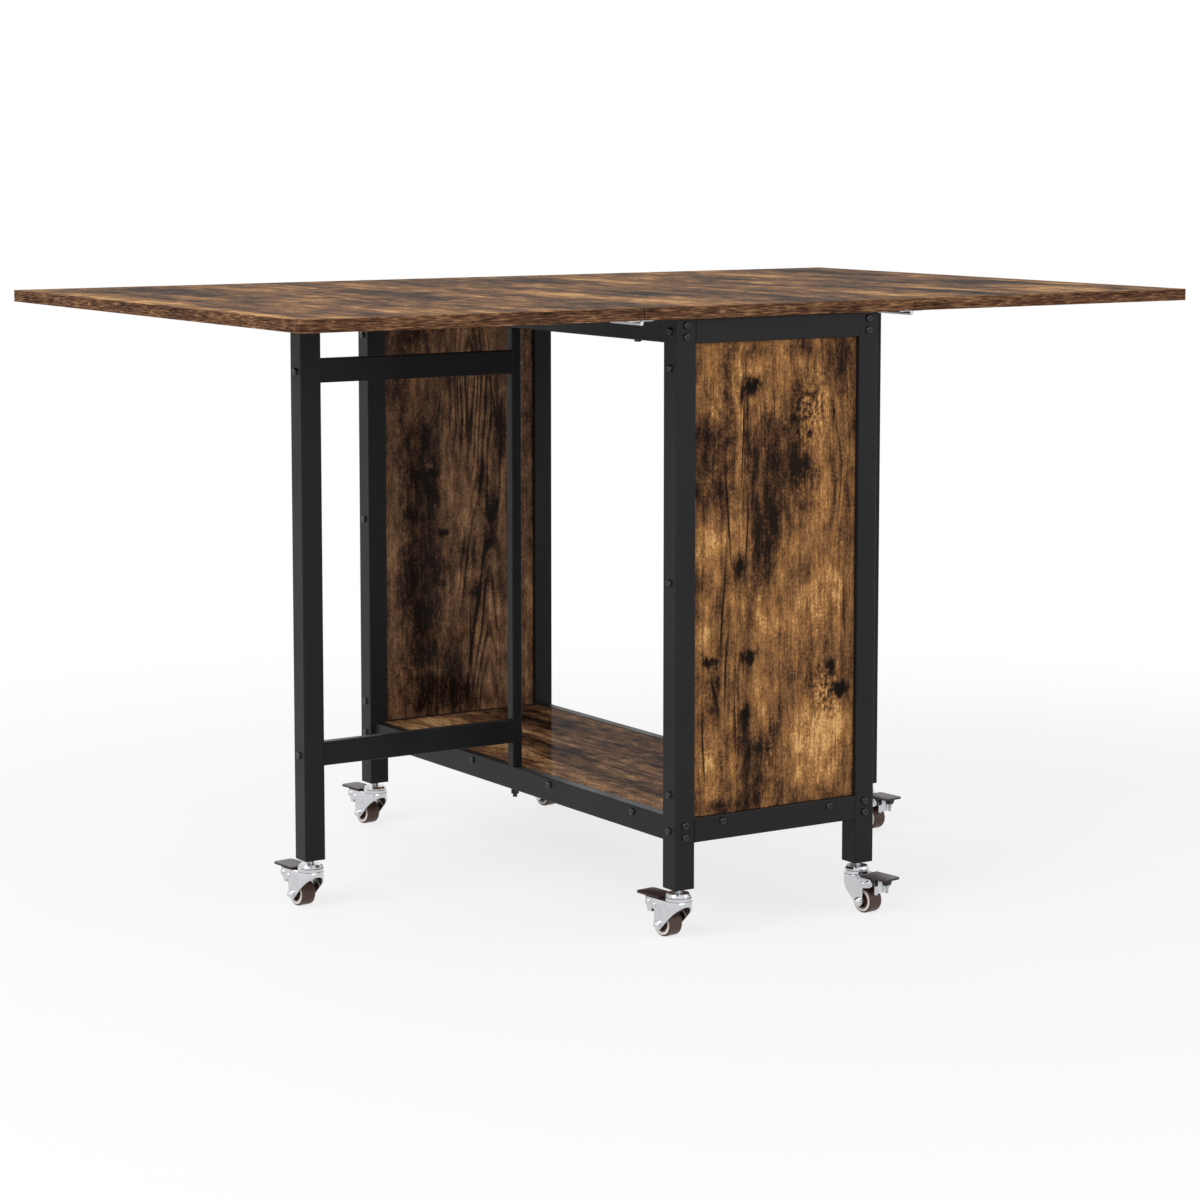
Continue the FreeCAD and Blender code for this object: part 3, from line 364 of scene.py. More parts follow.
topBoard = {
    "toneLiftAndPaintedLight": 0.02, "contrast": 1.4, "paintedSheenSaturation": 1.0,
    "flames": ((-350, 0, 160, 300, 0.4), (120, -100, 160, 300, 0.4), (480, 100, 160, 300, 0.4)),
    "stains": (
        (-500, -310, 26, 120, 0.5), (-480, 230, 60, 190, 0.6), (-280, -20, 46, 170, 0.6),
        (-250, -330, 30, 90, 0.5), (-12, -105, 50, 110, 0.7), (100, -300, 46, 150, 0.65),
        (50, 220, 60, 190, 0.6), (360, -330, 34, 110, 0.7), (330, -110, 54, 90, 0.65),
        (560, -110, 60, 90, 0.8), (210, 190, 34, 120, 0.5), (-570, 120, 24, 160, 0.4),
        (330, 180, 44, 150, 0.4), (560, 260, 50, 150, 0.7), (-170, -60, 24, 160, 0.3),
        (470, -20, 30, 150, 0.6), (-380, -180, 30, 200, 0.3), (-120, 260, 34, 150, 0.4),
    ),
    "glows": (
        (-622, -200, 20, 260, 0.9), (-600, 20, 26, 110, 0.7), (-110, -60, 36, 220, 0.8),
        (-66, -320, 30, 130, 0.8), (150, 200, 24, 230, 0.8), (255, -280, 26, 190, 0.9),
        (225, -40, 20, 110, 0.6), (412, 240, 34, 150, 0.8), (540, -290, 50, 90, 0.95),
        (-330, -310, 26, 120, 0.5), (460, 90, 24, 120, 0.5), (-200, 150, 20, 150, 0.5),
        (-430, 40, 14, 160, 0.4), (600, 60, 20, 160, 0.6), (300, -340, 30, 70, 0.7),
        (400, -210, 24, 120, 0.7), (470, -330, 24, 80, 1.0), (622, -170, 16, 120, 1.0),
        (20, 130, 26, 180, 0.9), (-420, -330, 24, 80, 0.6), (300, 60, 22, 110, 0.7),
    ),
    "knots": (
        (-16, 40, 11, 20, 0.6), (330, 240, 14, 24, 0.8), (-270, -330, 13, 20, 0.8),
        (590, -345, 13, 18, 0.8), (-560, 260, 15, 22, 0.85), (-340, 120, 14, 18, 0.8),
        (120, 300, 15, 20, 0.8), (-110, -240, 12, 18, 0.75), (420, -60, 14, 20, 0.8),
        (560, 130, 10, 14, 0.75), (-470, -90, 10, 14, 0.75), (60, -330, 10, 14, 0.7),
    ),
    "burls": (
        (120, -180, 34, 80, 0.45), (-450, 60, 34, 80, 0.4), (480, 180, 34, 80, 0.4),
        (350, 215, 30, 50, 0.8),
    ),
    "cracks": (
        (-430, -200, 2.4, 150, 1), (60, -150, 2.4, 170, -1), (520, 40, 2.4, 150, 1),
        (-540, 220, 2.2, 120, -2), (-300, 200, 2.2, 140, 2), (-60, 180, 2.2, 130, 1),
        (150, 60, 2.0, 130, -1), (330, -40, 2.2, 150, 2), (430, 260, 2.0, 110, -1),
        (-350, -60, 2.0, 120, 1), (600, -200, 2.2, 110, -2),
    ),
}
shelfBoard = {
    # The shelf's raised tone lift is painted light against the gate's shadow, and its lowered saturation is
    # painted sheen.
    "toneLiftAndPaintedLight": 0.07, "contrast": 1.3, "paintedSheenSaturation": 0.9,
    "flames": ((0, 0, 120, 300, 0.4),),
    "stains": (
        (60, 250, 50, 110, 0.6), (-10, 60, 26, 110, 0.45), (70, -60, 36, 140, 0.5),
        (-60, -110, 22, 110, 0.45), (-40, -280, 30, 90, 0.4), (20, -200, 24, 100, 0.35),
    ),
    # The wide glow at the far left, round (-60, 280), is painted light where the gate shades the shelf.
    "glows": (
        (-80, -30, 20, 150, 0.6), (-60, 100, 22, 90, 0.6), (-60, 280, 60, 110, 0.8),
        (-100, -220, 18, 110, 0.5),
    ),
    "knots": ((-80, -140, 9, 15, 0.6), (52, 160, 7, 11, 0.5)),
    "burls": ((-70, 20, 20, 50, 0.4),),
    "cracks": ((-20, -60, 1.8, 140, 1),),
}


# Edge band: a thin plastic strip printed with oak, ironed round the boards.
# It gives short dark streaks that run along the edge.
edgeLook = {
    "tones": ((0.0, "#1c110b"), (0.35, "#4b3222"), (0.65, "#6b4a34"), (1.0, "#a27b57")),
    "roughness": 0.55,
    "coat": 0.1,
    "coatRoughness": 0.2,
    # Size in mm along and across the edge, detail, and how far each pattern moves the tone
    "patterns": {"streak": (20, 1.5, 4, 1.5), "blotch": (70, 9, 5, 0.8)},
    "printRough": 0.65,
    "distortion": 0.5,
    "startTone": -0.65,
    "toneRange": (0.22, 0.78),
    "emboss": 0.1,
    "embossStrength": 0.4,
}


def edgeBand(name, look=edgeLook):
    material, tree, shader = newMaterial(
        name, Roughness=look["roughness"], Specular_IOR_Level=0.0,
        Coat_Weight=look["coat"], Coat_Roughness=look["coatRoughness"])
    place = addNode(tree, "TexCoord")
    axes = addNode(tree, "SeparateXYZ", {0: place.outputs["Object"]})
    run = addNode(tree, "Math", {0: axes.outputs["X"], 1: axes.outputs["Y"]}, operation="ADD")
    strip = addNode(tree, "CombineXYZ", {0: run, 1: axes.outputs["Z"]})
    tone = look["startTone"]
    for along, across, detail, share in look["patterns"].values():
        stretched = addNode(tree, "VectorMath", {
            0: strip, 1: (1 / (along * mm), 1 / (across * mm), 0)}, operation="MULTIPLY")
        streak = addNode(tree, "TexNoise", {
            "Vector": stretched, "Scale": 1.0, "Detail": detail, "Roughness": look["printRough"],
            "Distortion": look["distortion"]})
        tone = addNode(tree, "Math", {0: streak, 1: share, 2: tone}, operation="MULTIPLY_ADD")
    toneLow, toneHigh = look["toneRange"]
    tone = addNode(tree, "MapRange", {0: tone, 1: toneLow, 2: toneHigh, 3: 0.0, 4: 1.0})
    colour = addNode(tree, "ValToRGB", {0: tone}, stops=look["tones"])
    bump = addNode(tree, "Bump", {
        "Height": tone, "Strength": look["embossStrength"], "Distance": look["emboss"] * mm})
    connect(tree, shader, {"Base Color": colour, "Normal": bump})
    return material


# Powder coat: black polyester baked on steel tube.
# It gives a satin black with a fine orange peel that breaks up highlights.
coatLook = {
    "black": "#181819",
    "worn": "#1e1e1f",
    "patchSize": 70,
    "patchDetail": 3.0,
    "peelSize": 1.6,               # real peel is near 0.8 mm, drawn coarser so that it shows
    "peelDetail": 1.0,
    "peelDepth": 0.04,
    "peelStrength": 0.3,
    "patchRange": (0.3, 0.7),
    "roughness": (0.34, 0.46),
    "specular": 0.15,
}


def powderCoat(name, look=coatLook):
    material, tree, shader = newMaterial(name, Specular_IOR_Level=look["specular"])
    place = addNode(tree, "TexCoord").outputs["Object"]
    patch = addNode(tree, "TexNoise", {
        "Vector": place, "Scale": 1 / (look["patchSize"] * mm), "Detail": look["patchDetail"]})
    colour = addNode(tree, "MixRGB", {
        "Fac": patch, "Color1": linear(look["black"]), "Color2": linear(look["worn"])})
    patchLow, patchHigh = look["patchRange"]
    smooth, rough = look["roughness"]
    gloss = addNode(tree, "MapRange", {0: patch, 1: patchLow, 2: patchHigh, 3: smooth, 4: rough})
    peel = addNode(tree, "TexNoise", {
        "Vector": place, "Scale": 1 / (look["peelSize"] * mm), "Detail": look["peelDetail"]})
    bump = addNode(tree, "Bump", {
        "Height": peel, "Strength": look["peelStrength"], "Distance": look["peelDepth"] * mm})
    connect(tree, shader, {"Base Color": colour, "Roughness": gloss, "Normal": bump})
    return material


# Metals: bright zinc on the caster steel, duller zinc on the hinges, oiled black oxide on the bolts.
# Faint clouds change the colour and the gloss, and a thin film of oil gives small glints.
steelLook = {"cloudDetail": 4.0, "cloudRange": (0.3, 0.7), "oilRoughness": 0.05}


def platedSteel(name, bright, dull, smooth, rough, cloudSize, metal=1.0, oil=0.0, look=steelLook):
    material, tree, shader = newMaterial(
        name, Metallic=metal, Coat_Weight=oil, Coat_Roughness=look["oilRoughness"])
    place = addNode(tree, "TexCoord").outputs["Object"]
    cloud = addNode(tree, "TexNoise", {
        "Vector": place, "Scale": 1 / (cloudSize * mm), "Detail": look["cloudDetail"]})
    cloudLow, cloudHigh = look["cloudRange"]
    colour = addNode(tree, "MixRGB", {"Fac": cloud, "Color1": linear(bright), "Color2": linear(dull)})
    gloss = addNode(tree, "MapRange", {0: cloud, 1: cloudLow, 2: cloudHigh, 3: smooth, 4: rough})
    connect(tree, shader, {"Base Color": colour, "Roughness": gloss})
    return material


# Moulded plastics: the brown tread, hub and brake pedal, the black shoe and the pale wheel rings.
# A faint grain from the mould shows on all of them.
plasticLook = {"specular": 0.3, "grainDetail": 3.0, "grainDepth": 0.04, "grainStrength": 0.3}


def mouldedPlastic(name, dark, pale, roughness, grainSize, look=plasticLook):
    material, tree, shader = newMaterial(name, Roughness=roughness, Specular_IOR_Level=look["specular"])
    place = addNode(tree, "TexCoord").outputs["Object"]
    grain = addNode(tree, "TexNoise", {
        "Vector": place, "Scale": 1 / (grainSize * mm), "Detail": look["grainDetail"]})
    colour = addNode(tree, "MixRGB", {"Fac": grain, "Color1": linear(dark), "Color2": linear(pale)})
    bump = addNode(tree, "Bump", {
        "Height": grain, "Strength": look["grainStrength"], "Distance": look["grainDepth"] * mm})
    connect(tree, shader, {"Base Color": colour, "Normal": bump})
    return material


nearPanelOak = smokedOak("smokedOakNearPanel", "X", "Z", 3.0, nearPanelBoard)
farPanelOak = smokedOak("smokedOakFarPanel", "X", "Z", 11.0, farPanelBoard)
shelfOak = smokedOak("smokedOakShelf", "X", "Y", 19.0, shelfBoard, coarse=1.4)
centreOak = smokedOak("smokedOakCentreTop", "X", "Y", 27.0, topBoard, coarse=2.0)
leftLeafOak = smokedOak("smokedOakLeftLeaf", "X", "Y", 127.0, topBoard, coarse=2.0)
rightLeafOak = smokedOak("smokedOakRightLeaf", "X", "Y", 227.0, topBoard, coarse=2.0)
oakEdge = edgeBand("oakEdgeBand")
blackCoat = powderCoat("blackPowderCoat")
blackOxide = platedSteel("blackOxideSteel", "#18181a", "#232325", 0.16, 0.3, 3, metal=0.8, oil=0.4)
brightZinc = platedSteel("brightZincSteel", "#dcdde0", "#c2c3c6", 0.1, 0.22, 9)
hingeZinc = platedSteel("hingeZincSteel", "#cfd0d2", "#b4b5b7", 0.24, 0.36, 6)
treadRubber = mouldedPlastic("brownTreadRubber", "#422f28", "#513b32", 0.4, 2.5)
pedalPlastic = mouldedPlastic("brownPedalPlastic", "#302325", "#3d2e31", 0.36, 2.0)
hubPlastic = mouldedPlastic("brownHubPlastic", "#4a372f", "#5a453b", 0.34, 2.0)
ringNylon = mouldedPlastic("paleRingNylon", "#dcd6d0", "#e8e3de", 0.3, 2.0)
shoePlastic = mouldedPlastic("blackShoePlastic", "#121213", "#1a1a1b", 0.4, 1.5)

finishes = {
    "centre_top": centreOak, "leaf_left": leftLeafOak, "leaf_right": rightLeafOak,
    "end_panel_near": nearPanelOak, "end_panel_far": farPanelOak, "shelf": shelfOak,
    "leg": blackCoat, "top_": blackCoat, "bottom_": blackCoat, "gate": blackCoat, "hinge": hingeZinc,
}
endings = {
    "_tread": treadRubber, "_hub": hubPlastic, "_pedal": pedalPlastic,
    "_bolts": blackOxide, "_screws": blackOxide, "_stem": brightZinc, "_stems": brightZinc,
}
for name, node in nodes.items():
    finish = next((finish for start, finish in finishes.items() if name.startswith(start)), brightZinc)
    finish = next((special for ending, special in endings.items() if name.endswith(ending)), finish)
    node.data.materials.clear()
    node.data.materials.append(finish)
print("finishes set")


# Modelling helpers, with the degrees and millimetres that they share
smoothAngle = 35
sameFaceAngle = 1
mergeDistance = 0.01
slack = 0.1                        # a point this near to a plane counts as on it


def activate(*pieces):
    bpy.ops.object.select_all(action="DESELECT")
    for piece in pieces:
        piece.select_set(True)
    bpy.context.view_layer.objects.active = pieces[0]


def newPiece(name, addPrimitive, **shape):
    # Adds a primitive and goes into edit mode with all of it selected
    bpy.ops.object.select_all(action="DESELECT")
    addPrimitive(**shape)
    piece = bpy.context.object
    piece.name = name
    bpy.ops.object.mode_set(mode="EDIT")
    bpy.ops.mesh.select_all(action="SELECT")
    return piece


def choose(piece, kind, test):
    # In edit mode, selects the verts, edges or faces whose middle, in mm, passes the test
    bpy.ops.mesh.select_mode(type=kind[:-1].upper())
    bpy.ops.mesh.select_all(action="DESELECT")
    mesh = bmesh.from_edit_mesh(piece.data)
    for item in getattr(mesh, kind):
        corners = [item] if kind == "verts" else item.verts
        middle = sum((corner.co for corner in corners), Vector()) / (len(corners) * mm)
        item.select_set(test(middle))
    mesh.select_flush_mode()
    bmesh.update_edit_mesh(piece.data)


def finishShape(piece, creaseAngle=smoothAngle):
    # Leaves edit mode with the normals outward and the place kept in the mesh
    bpy.ops.mesh.select_all(action="SELECT")
    bpy.ops.mesh.normals_make_consistent(inside=False)
    bpy.ops.object.mode_set(mode="OBJECT")
    activate(piece)
    bpy.ops.object.transform_apply(location=True, rotation=True, scale=True)
    bpy.ops.object.shade_smooth_by_angle(angle=math.radians(creaseAngle))


def applyModifier(piece, kind, **settings):
    activate(piece)
    modifier = piece.modifiers.new(kind.title(), kind)
    for name, setting in settings.items():
        setattr(modifier, name, setting)
    bpy.ops.object.modifier_apply(modifier=modifier.name)


def placedCopy(master, name, matrix):
    copy = master.copy()
    copy.data = master.data.copy()
    copy.name = name
    bpy.context.scene.collection.objects.link(copy)
    copy.data.transform(matrix)
    return copy


def mergedCopy(node, name, matrix):
    # A CAD node's mesh is loose triangles, so the copy's doubled points are joined first
    copy = placedCopy(node, name, node.matrix_world)
    copy.parent = None
    copy.matrix_world = Matrix.Identity(4)
    copy.data.transform(matrix)
    activate(copy)
    bpy.ops.object.mode_set(mode="EDIT")
    bpy.ops.mesh.select_all(action="SELECT")
    bpy.ops.mesh.remove_doubles(threshold=mergeDistance * mm)
    bpy.ops.mesh.tris_convert_to_quads(face_threshold=math.radians(sameFaceAngle), shape_threshold=math.pi)
    bpy.ops.mesh.normals_make_consistent(inside=False)
    bpy.ops.object.mode_set(mode="OBJECT")
    return copy


def dress(piece, material, body, slot, *replaced):
    piece.data.materials.clear()
    piece.data.materials.append(material)
    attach(piece, body)
    if replaced:
        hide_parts(*replaced)


# Top boards: flat faces with a printed oak face and a plastic band round the sides
boardLook = {"round": 0.8, "segments": 3, "creaseAngle": 10, "levelNormal": 0.7}


def bandedBoard(name, node, body, look=boardLook):
    low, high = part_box(node)
    piece = newPiece(name, bpy.ops.mesh.primitive_cube_add, size=1)
    bpy.ops.transform.resize(value=high - low)
    bpy.ops.transform.translate(value=(low + high) / 2)
    bpy.ops.mesh.bevel(offset=look["round"] * mm, segments=look["segments"], affect="EDGES")
    finishShape(piece, look["creaseAngle"])
    dress(piece, nodes[node].data.materials[0], body, "smoked_oak_board", node)
    piece.data.materials.append(oakEdge)
    for face in piece.data.polygons:
        face.material_index = 0 if abs(face.normal.z) > look["levelNormal"] else 1


bandedBoard("centreBoard", "centre_top", "base")
bandedBoard("leftLeafBoard", "leaf_left", "leaf_left")
bandedBoard("rightLeafBoard", "leaf_right", "leaf_right")
print("boards made")


# Button-head bolts with a hexagon socket
boltLook = {
    "headRadius": 4.7, "headHeight": 2.8, "crownRound": 2.1, "crownSegments": 5, "sides": 32,
    "socketRadius": 1.5, "socketDepth": 1.2, "socketSides": 6, "shankRadius": 2.5, "shankLength": 8,
}


def buttonBolt(look=boltLook):
    # The head sits on the plane z = 0 and the shank goes down
    radius, height = look["headRadius"], look["headHeight"]
    bolt = newPiece("buttonBolt", bpy.ops.mesh.primitive_cylinder_add, vertices=look["sides"],
                    radius=radius * mm, depth=height * mm, location=(0, 0, height / 2 * mm))
    choose(bolt, "faces", lambda middle: middle.z < slack - height / 2)
    bpy.ops.mesh.inset(thickness=(radius - look["shankRadius"]) * mm)
    bpy.ops.mesh.extrude_region_move(TRANSFORM_OT_translate={"value": (0, 0, -look["shankLength"] * mm)})
    choose(bolt, "edges", lambda middle: middle.z > height / 2 - slack)
    bpy.ops.mesh.bevel(offset=look["crownRound"] * mm, segments=look["crownSegments"], affect="EDGES")
    finishShape(bolt)
    cutter = newPiece("socketCutter", bpy.ops.mesh.primitive_cylinder_add, vertices=look["socketSides"],
                      radius=look["socketRadius"] * mm, depth=2 * look["socketDepth"] * mm,
                      location=(0, 0, height * mm))
    finishShape(cutter)
    applyModifier(bolt, "BOOLEAN", operation="DIFFERENCE", object=cutter)
    bpy.data.objects.remove(cutter)
    return bolt


def boltPlaces(nodeName):
    # Each loose part of the node is one bolt. Its widest points are the rim of its head.
    mergedCopy(nodes[nodeName], "boltParts", Matrix.Identity(4))
    bpy.ops.mesh.separate(type="LOOSE")
    places = []
    for part in list(bpy.context.selected_objects):
        points = [vertex.co for vertex in part.data.vertices]
        low = Vector([min(point[k] for point in points) for k in range(3)])
        high = Vector([max(point[k] for point in points) for k in range(3)])
        middle = (low + high) / 2
        axis = max(range(3), key=lambda k: high[k] - low[k])
        side = (axis + 1) % 3
        rim = [point for point in points if point[side] > high[side] - slack * mm]
        way = 1 if rim[0][axis] > middle[axis] else -1
        middle[axis] = way * min(way * point[axis] for point in rim)
        outward = Vector([way if k == axis else 0 for k in range(3)])
        turn = outward.to_track_quat("Z", "Y").to_matrix().to_4x4()
        places.append(Matrix.Translation(middle) @ turn)
        bpy.data.objects.remove(part)
    return places


def boltSet(name, nodeName, body):
    bolts = [placedCopy(boltMaster, name, place) for place in boltPlaces(nodeName)]
    activate(*bolts)
    bpy.ops.object.join()
    dress(bolts[0], blackOxide, body, "black_bolts", nodeName)
    return len(bolts)


boltMaster = buttonBolt()
boltCount = boltSet("frameBolts", "frame_bolts", "base") + boltSet("topScrews", "top_screws", "base")
for side in ("left", "right"):
    boltCount += boltSet(f"{side}GateBolts", f"gate_{side}_bolts", f"gate_{side}")
bpy.data.objects.remove(boltMaster)
print("bolts made:", boltCount)


# Casters: pieces are made once with the swivel axis at the origin and the wheel trailing towards +X
casterNames = [
    name.removeprefix("caster_").removesuffix("_swivel") for name in joints if name.endswith("_swivel")]


def casterPlace(name):
    swivel = joints[f"caster_{name}_swivel"]["pos_m"]
    axle = joints[f"caster_{name}_roll"]["axis"]
    heading = math.atan2(-axle[0], axle[1])
    return Matrix.Translation((swivel[0], swivel[1], 0)) @ Matrix.Rotation(heading, 4, "Z")


axleLook = {"trail": 19, "height": 16}

# Rounds with their segments, on edges that turn by more than the bevel angle
softLook = {"fork": (0.3, 2), "pedal": (0.6, 3), "bevelAngle": 40}


def softenedCopy(nodeName, name, rounding, segments, look=softLook):
    home = casterPlace("near_left").inverted()
    piece = mergedCopy(nodes[nodeName], name, home)
    applyModifier(piece, "BEVEL", width=rounding * mm, segments=segments, limit_method="ANGLE",
                  angle_limit=math.radians(look["bevelAngle"]), use_clamp_overlap=True)
    activate(piece)
    bpy.ops.object.shade_smooth_by_angle(angle=math.radians(smoothAngle))
    return piece


plateLook = {
    "width": 20, "sheet": 1.2, "front": 39, "rear": 50, "top": 45.5, "low": 27, "taper": 5,
    "corner": 3, "cornerSegments": 4,
}


def brakePlate(look=plateLook):
    # A folded steel channel under the paddle, open at the back
    halfWidth = look["width"] / 2
    low = Vector((look["front"], -halfWidth, look["low"])) * mm
    high = Vector((look["rear"], halfWidth, look["top"])) * mm
    piece = newPiece("brakePlate", bpy.ops.mesh.primitive_cube_add, size=1)
    bpy.ops.transform.resize(value=high - low)
    bpy.ops.transform.translate(value=(low + high) / 2)
    choose(piece, "edges", lambda middle: middle.x < look["front"] + slack
           and abs(middle.y) > halfWidth - slack)
    bpy.ops.mesh.bevel(
        offset=look["corner"] * mm, segments=look["cornerSegments"], affect="EDGES")
    choose(piece, "faces", lambda middle: middle.x > look["rear"] - slack
           or middle.z > look["top"] - slack or middle.z < look["low"] + slack)
    bpy.ops.mesh.delete(type="FACE")
    choose(piece, "verts", lambda middle: middle.x > look["rear"] - slack
           and middle.z < look["low"] + slack)
    bpy.ops.transform.translate(value=(-look["taper"] * mm, 0, 0))
    finishShape(piece)
    applyModifier(piece, "SOLIDIFY", thickness=look["sheet"] * mm, offset=-1)
    activate(piece)
    bpy.ops.object.shade_smooth_by_angle(angle=math.radians(smoothAngle))
    return piece


shoeLook = {
    "width": 12, "front": 49, "rear": 57, "top": 47, "low": 39.5, "taper": (0.6, 0.8, 1),
    "round": 0.6, "roundSegments": 2,
}


def brakeShoe(look=shoeLook):
    # A tapered block behind the plate
    halfWidth = look["width"] / 2
    low = Vector((look["front"], -halfWidth, look["low"])) * mm
    high = Vector((look["rear"], halfWidth, look["top"])) * mm
    piece = newPiece("brakeShoe", bpy.ops.mesh.primitive_cube_add, size=1)
    bpy.ops.transform.resize(value=high - low)
    bpy.ops.transform.translate(value=(low + high) / 2)
    choose(piece, "faces", lambda middle: middle.z < look["low"] + slack)
    bpy.ops.transform.resize(value=look["taper"])
    bpy.ops.mesh.select_all(action="SELECT")
    bpy.ops.mesh.bevel(offset=look["round"] * mm, segments=look["roundSegments"], affect="EDGES")
    finishShape(piece)
    return piece


ringLook = {
    "outer": 13.8, "width": 3.2, "sheet": 0.9, "proud": 0.25, "round": 0.3, "roundSegments": 3,
    "sides": 64, "plane": 10,
}


def sideRings(look=ringLook):
    # Pale rings let into both sides of the wheel, round the axle
    rings = []
    for side in (-1, 1):
        ring = newPiece("sideRings", bpy.ops.mesh.primitive_cylinder_add, vertices=look["sides"],
                        radius=look["outer"] * mm, depth=look["sheet"] * mm)
        half = look["sheet"] / 2
        choose(ring, "faces", lambda middle: abs(middle.z) > half - slack)
        bpy.ops.mesh.inset(thickness=look["width"] * mm)
        bpy.ops.mesh.bridge_edge_loops()
        choose(ring, "edges", lambda middle: abs(middle.z) > half - slack
               and middle.xy.length > look["outer"] - look["width"] - slack)
        bpy.ops.mesh.bevel(
            offset=look["round"] * mm, segments=look["roundSegments"], affect="EDGES")
        finishShape(ring)
        out = side * (look["plane"] + look["proud"] - half)
        ring.data.transform(Matrix.Translation((axleLook["trail"] * mm, out * mm, axleLook["height"] * mm))
                            @ Matrix.Rotation(math.radians(90), 4, "X"))
        rings.append(ring)
    activate(*rings)
    bpy.ops.object.join()
    return rings[0]


domeLook = {
    "radius": 4.1, "height": 2.8, "round": 2.3, "segments": 6, "sides": 40, "seat": 18.7,
}


def axleDomes(look=domeLook):
    # The axle's round ends, on top of its flat heads
    height = look["height"]
    domes = []
    for side in (-1, 1):
        dome = newPiece("axleDomes", bpy.ops.mesh.primitive_cylinder_add, vertices=look["sides"],
                        radius=look["radius"] * mm, depth=height * mm)
        choose(dome, "edges", lambda middle: middle.z > height / 2 - slack)
        bpy.ops.mesh.bevel(offset=look["round"] * mm, segments=look["segments"], affect="EDGES")
        finishShape(dome)
        out = side * (look["seat"] + height / 2)
        dome.data.transform(Matrix.Translation((axleLook["trail"] * mm, out * mm, axleLook["height"] * mm))
                            @ Matrix.Rotation(math.radians(-90 * side), 4, "X"))
        domes.append(dome)
    activate(*domes)
    bpy.ops.object.join()
    return domes[0]


threadLook = {
    "radius": 4, "depth": 0.6, "low": 56, "high": 62, "turns": 5, "sides": 32, "crease": 20,
}


def stemThread(look=threadLook):
    # Rings of thread between the cup and the leg
    low, high, turns = look["low"], look["high"], look["turns"]
    pitch = (high - low) / turns
    piece = newPiece("stemThread", bpy.ops.mesh.primitive_cylinder_add, vertices=look["sides"],
                     end_fill_type="NOTHING", radius=look["radius"] * mm, depth=(high - low) * mm,
                     location=(0, 0, (low + high) / 2 * mm))
    for turn in range(2 * turns - 1):
        bpy.ops.mesh.select_all(action="SELECT")
        bpy.ops.mesh.bisect(plane_co=(0, 0, (low + (turn + 1) * pitch / 2) * mm), plane_no=(0, 0, 1))
    half = (high - low) / 2

    def atCrest(middle):
        step = (middle.z + half) / (pitch / 2)
        return abs(step % 2 - 1) < slack

    choose(piece, "verts", atCrest)
    grow = (look["radius"] + look["depth"]) / look["radius"]
    bpy.ops.transform.resize(value=(grow, grow, 1))
    finishShape(piece, look["crease"])
    return piece


forkMaster = softenedCopy("caster_near_left_fork", "forkMaster", *softLook["fork"])
pedalMaster = softenedCopy("caster_near_left_pedal", "pedalMaster", *softLook["pedal"])
plateMaster = brakePlate()
shoeMaster = brakeShoe()
ringMaster = sideRings()
domeMaster = axleDomes()
threadMaster = stemThread()
for name in casterNames:
    place = casterPlace(name)
    fork = f"caster_{name}_swivel_fork"
    pedal = f"caster_{name}_brake_pedal"
    stand = joints[f"caster_{name}_swivel"]["parent"]
    wheel = joints[f"caster_{name}_roll"]["child"]
    dress(placedCopy(forkMaster, f"{name}.fork", place), brightZinc, fork, "bright_caster_steel",
          f"caster_{name}_fork")
    dress(placedCopy(pedalMaster, f"{name}.pedal", place), pedalPlastic, pedal, "brown_pedal",
          f"caster_{name}_pedal")
    dress(placedCopy(plateMaster, f"{name}.brakePlate", place), brightZinc, pedal, "bright_caster_steel")
    dress(placedCopy(shoeMaster, f"{name}.brakeShoe", place), shoePlastic, pedal, "brown_pedal")
    dress(placedCopy(ringMaster, f"{name}.sideRings", place), ringNylon, wheel, None)
    dress(placedCopy(domeMaster, f"{name}.axleDomes", place), brightZinc, fork, "bright_caster_steel")
    dress(placedCopy(threadMaster, f"{name}.stemThread", place), brightZinc, stand, "bright_caster_steel")
for master in (forkMaster, pedalMaster, plateMaster, shoeMaster, ringMaster, domeMaster, threadMaster):
    bpy.data.objects.remove(master)
print("casters made:", len(casterNames))


# Stage: a pale floor that keeps the shadow near the table and fades to white further out
stageLook = {
    "floorHalf": 6000, "fadeFrom": 900, "fadeTo": 2000, "floor": "#f7f7f7", "floorRoughness": 0.9,
    "whitened": 0.76, "ambient": 0.47,
}


def seenRays(tree):
    # 1.0 for what the camera sees directly, mirrored or through glass
    path = addNode(tree, "LightPath")
    seen = addNode(tree, "Math", {0: path.outputs["Is Camera Ray"], 1: path.outputs["Is Glossy Ray"]},
                   operation="MAXIMUM")
    return addNode(tree, "Math", {0: seen, 1: path.outputs["Is Transmission Ray"]}, operation="MAXIMUM")


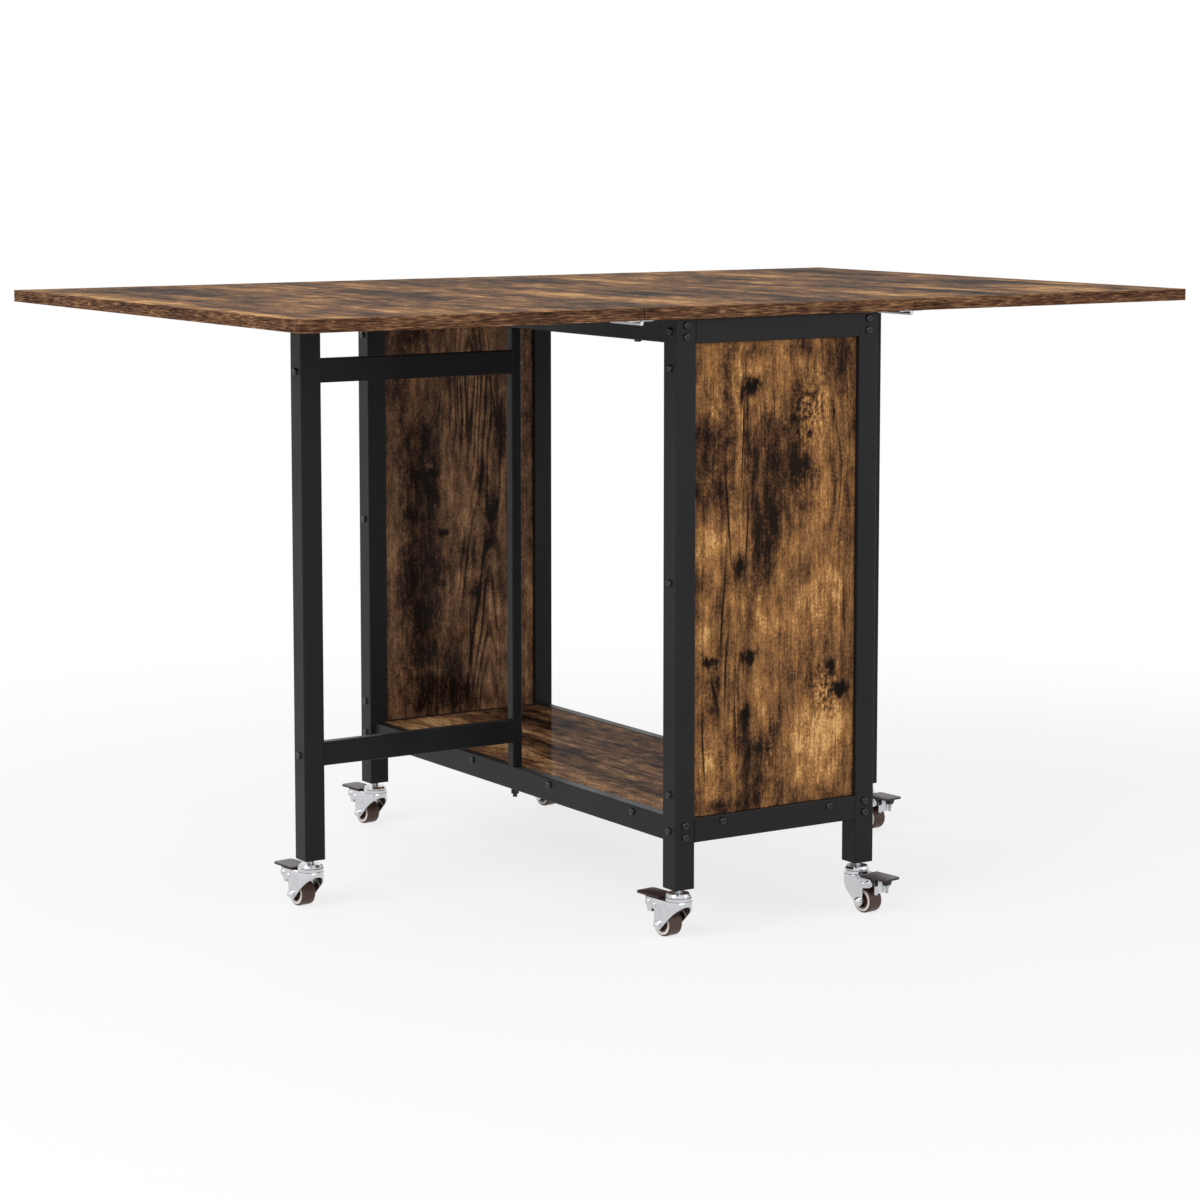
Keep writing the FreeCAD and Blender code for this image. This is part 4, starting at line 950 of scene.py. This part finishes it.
def paleFloor(look=stageLook):
    bpy.ops.object.select_all(action="DESELECT")
    bpy.ops.mesh.primitive_plane_add(size=2 * look["floorHalf"] * mm, location=(0, 0, 0))
    floor = bpy.context.object
    floor.name = "floor"
    material, tree, shader = newMaterial(
        "paleMatteFloor", Base_Color=linear(look["floor"]), Roughness=look["floorRoughness"],
        Specular_IOR_Level=0.0)
    place = addNode(tree, "TexCoord").outputs["Object"]
    away = addNode(tree, "VectorMath", {0: place}, operation="LENGTH")
    fade = addNode(tree, "MapRange", {
        0: away.outputs["Value"], 1: look["fadeFrom"] * mm, 2: look["fadeTo"] * mm,
        3: look["whitened"], 4: 1.0}, interpolation_type="SMOOTHSTEP")
    fade = addNode(tree, "Math", {0: fade, 1: seenRays(tree)}, operation="MULTIPLY")
    white = addNode(tree, "Emission", {"Color": (1, 1, 1, 1), "Strength": 1.0})
    mixed = addNode(tree, "MixShader", {0: fade, 1: shader, 2: white})
    tree.links.new(mixed.outputs[0], tree.nodes["Material Output"].inputs["Surface"])
    floor.data.materials.append(material)


def whiteRoom(look=stageLook):
    world = bpy.data.worlds.new("whiteRoom")
    bpy.context.scene.world = world
    world.use_nodes = True
    tree = world.node_tree
    tree.nodes.clear()
    strength = addNode(tree, "MapRange", {0: seenRays(tree), 1: 0.0, 2: 1.0, 3: look["ambient"], 4: 1.0})
    back = addNode(tree, "Background", {"Color": (1, 1, 1, 1), "Strength": strength})
    addNode(tree, "OutputWorld", {"Surface": back})


softLights = {
    # place in mm, aim in mm, size in mm, watts
    "keyLeft": ((-3500, -900, 2800), (0, 0, 450), 2600, 100),
    "fillRight": ((2200, -2800, 1900), (0, 0, 400), 2400, 22),
    "lowFront": ((-300, -3600, 900), (0, 0, 400), 2400, 22),
    "backSoft": ((300, 2900, 2600), (0, 0, 500), 2400, 26),
}


def studioLights():
    for name, (place, aim, span, watts) in softLights.items():
        lamp = bpy.data.lights.new(name, "AREA")
        lamp.shape = "SQUARE"
        lamp.size = span * mm
        lamp.energy = watts
        holder = bpy.data.objects.new(name, lamp)
        bpy.context.scene.collection.objects.link(holder)
        holder.location = Vector(place) * mm
        holder.rotation_euler = (Vector(aim) - Vector(place)).to_track_quat("-Z", "Y").to_euler()


cameraLook = {
    "place": (-2245.3, -3470.4, 963.3), "heading": 32.862, "pitch": 6.214,
    "sensor": 36, "lens": 95.176, "shift": -0.1,
}


def photoCamera(look=cameraLook):
    data = bpy.data.cameras.new("photoCamera")
    data.sensor_width = look["sensor"]
    data.lens = look["lens"]
    data.shift_y = look["shift"]
    camera = bpy.data.objects.new("photoCamera", data)
    bpy.context.scene.collection.objects.link(camera)
    camera.location = Vector(look["place"]) * mm
    camera.rotation_euler = (math.radians(90 - look["pitch"]), 0, math.radians(-look["heading"]))
    bpy.context.scene.camera = camera


paleFloor()
whiteRoom()
studioLights()
photoCamera()
bpy.context.scene.view_settings.view_transform = "Standard"
print("stage, lights and camera set")
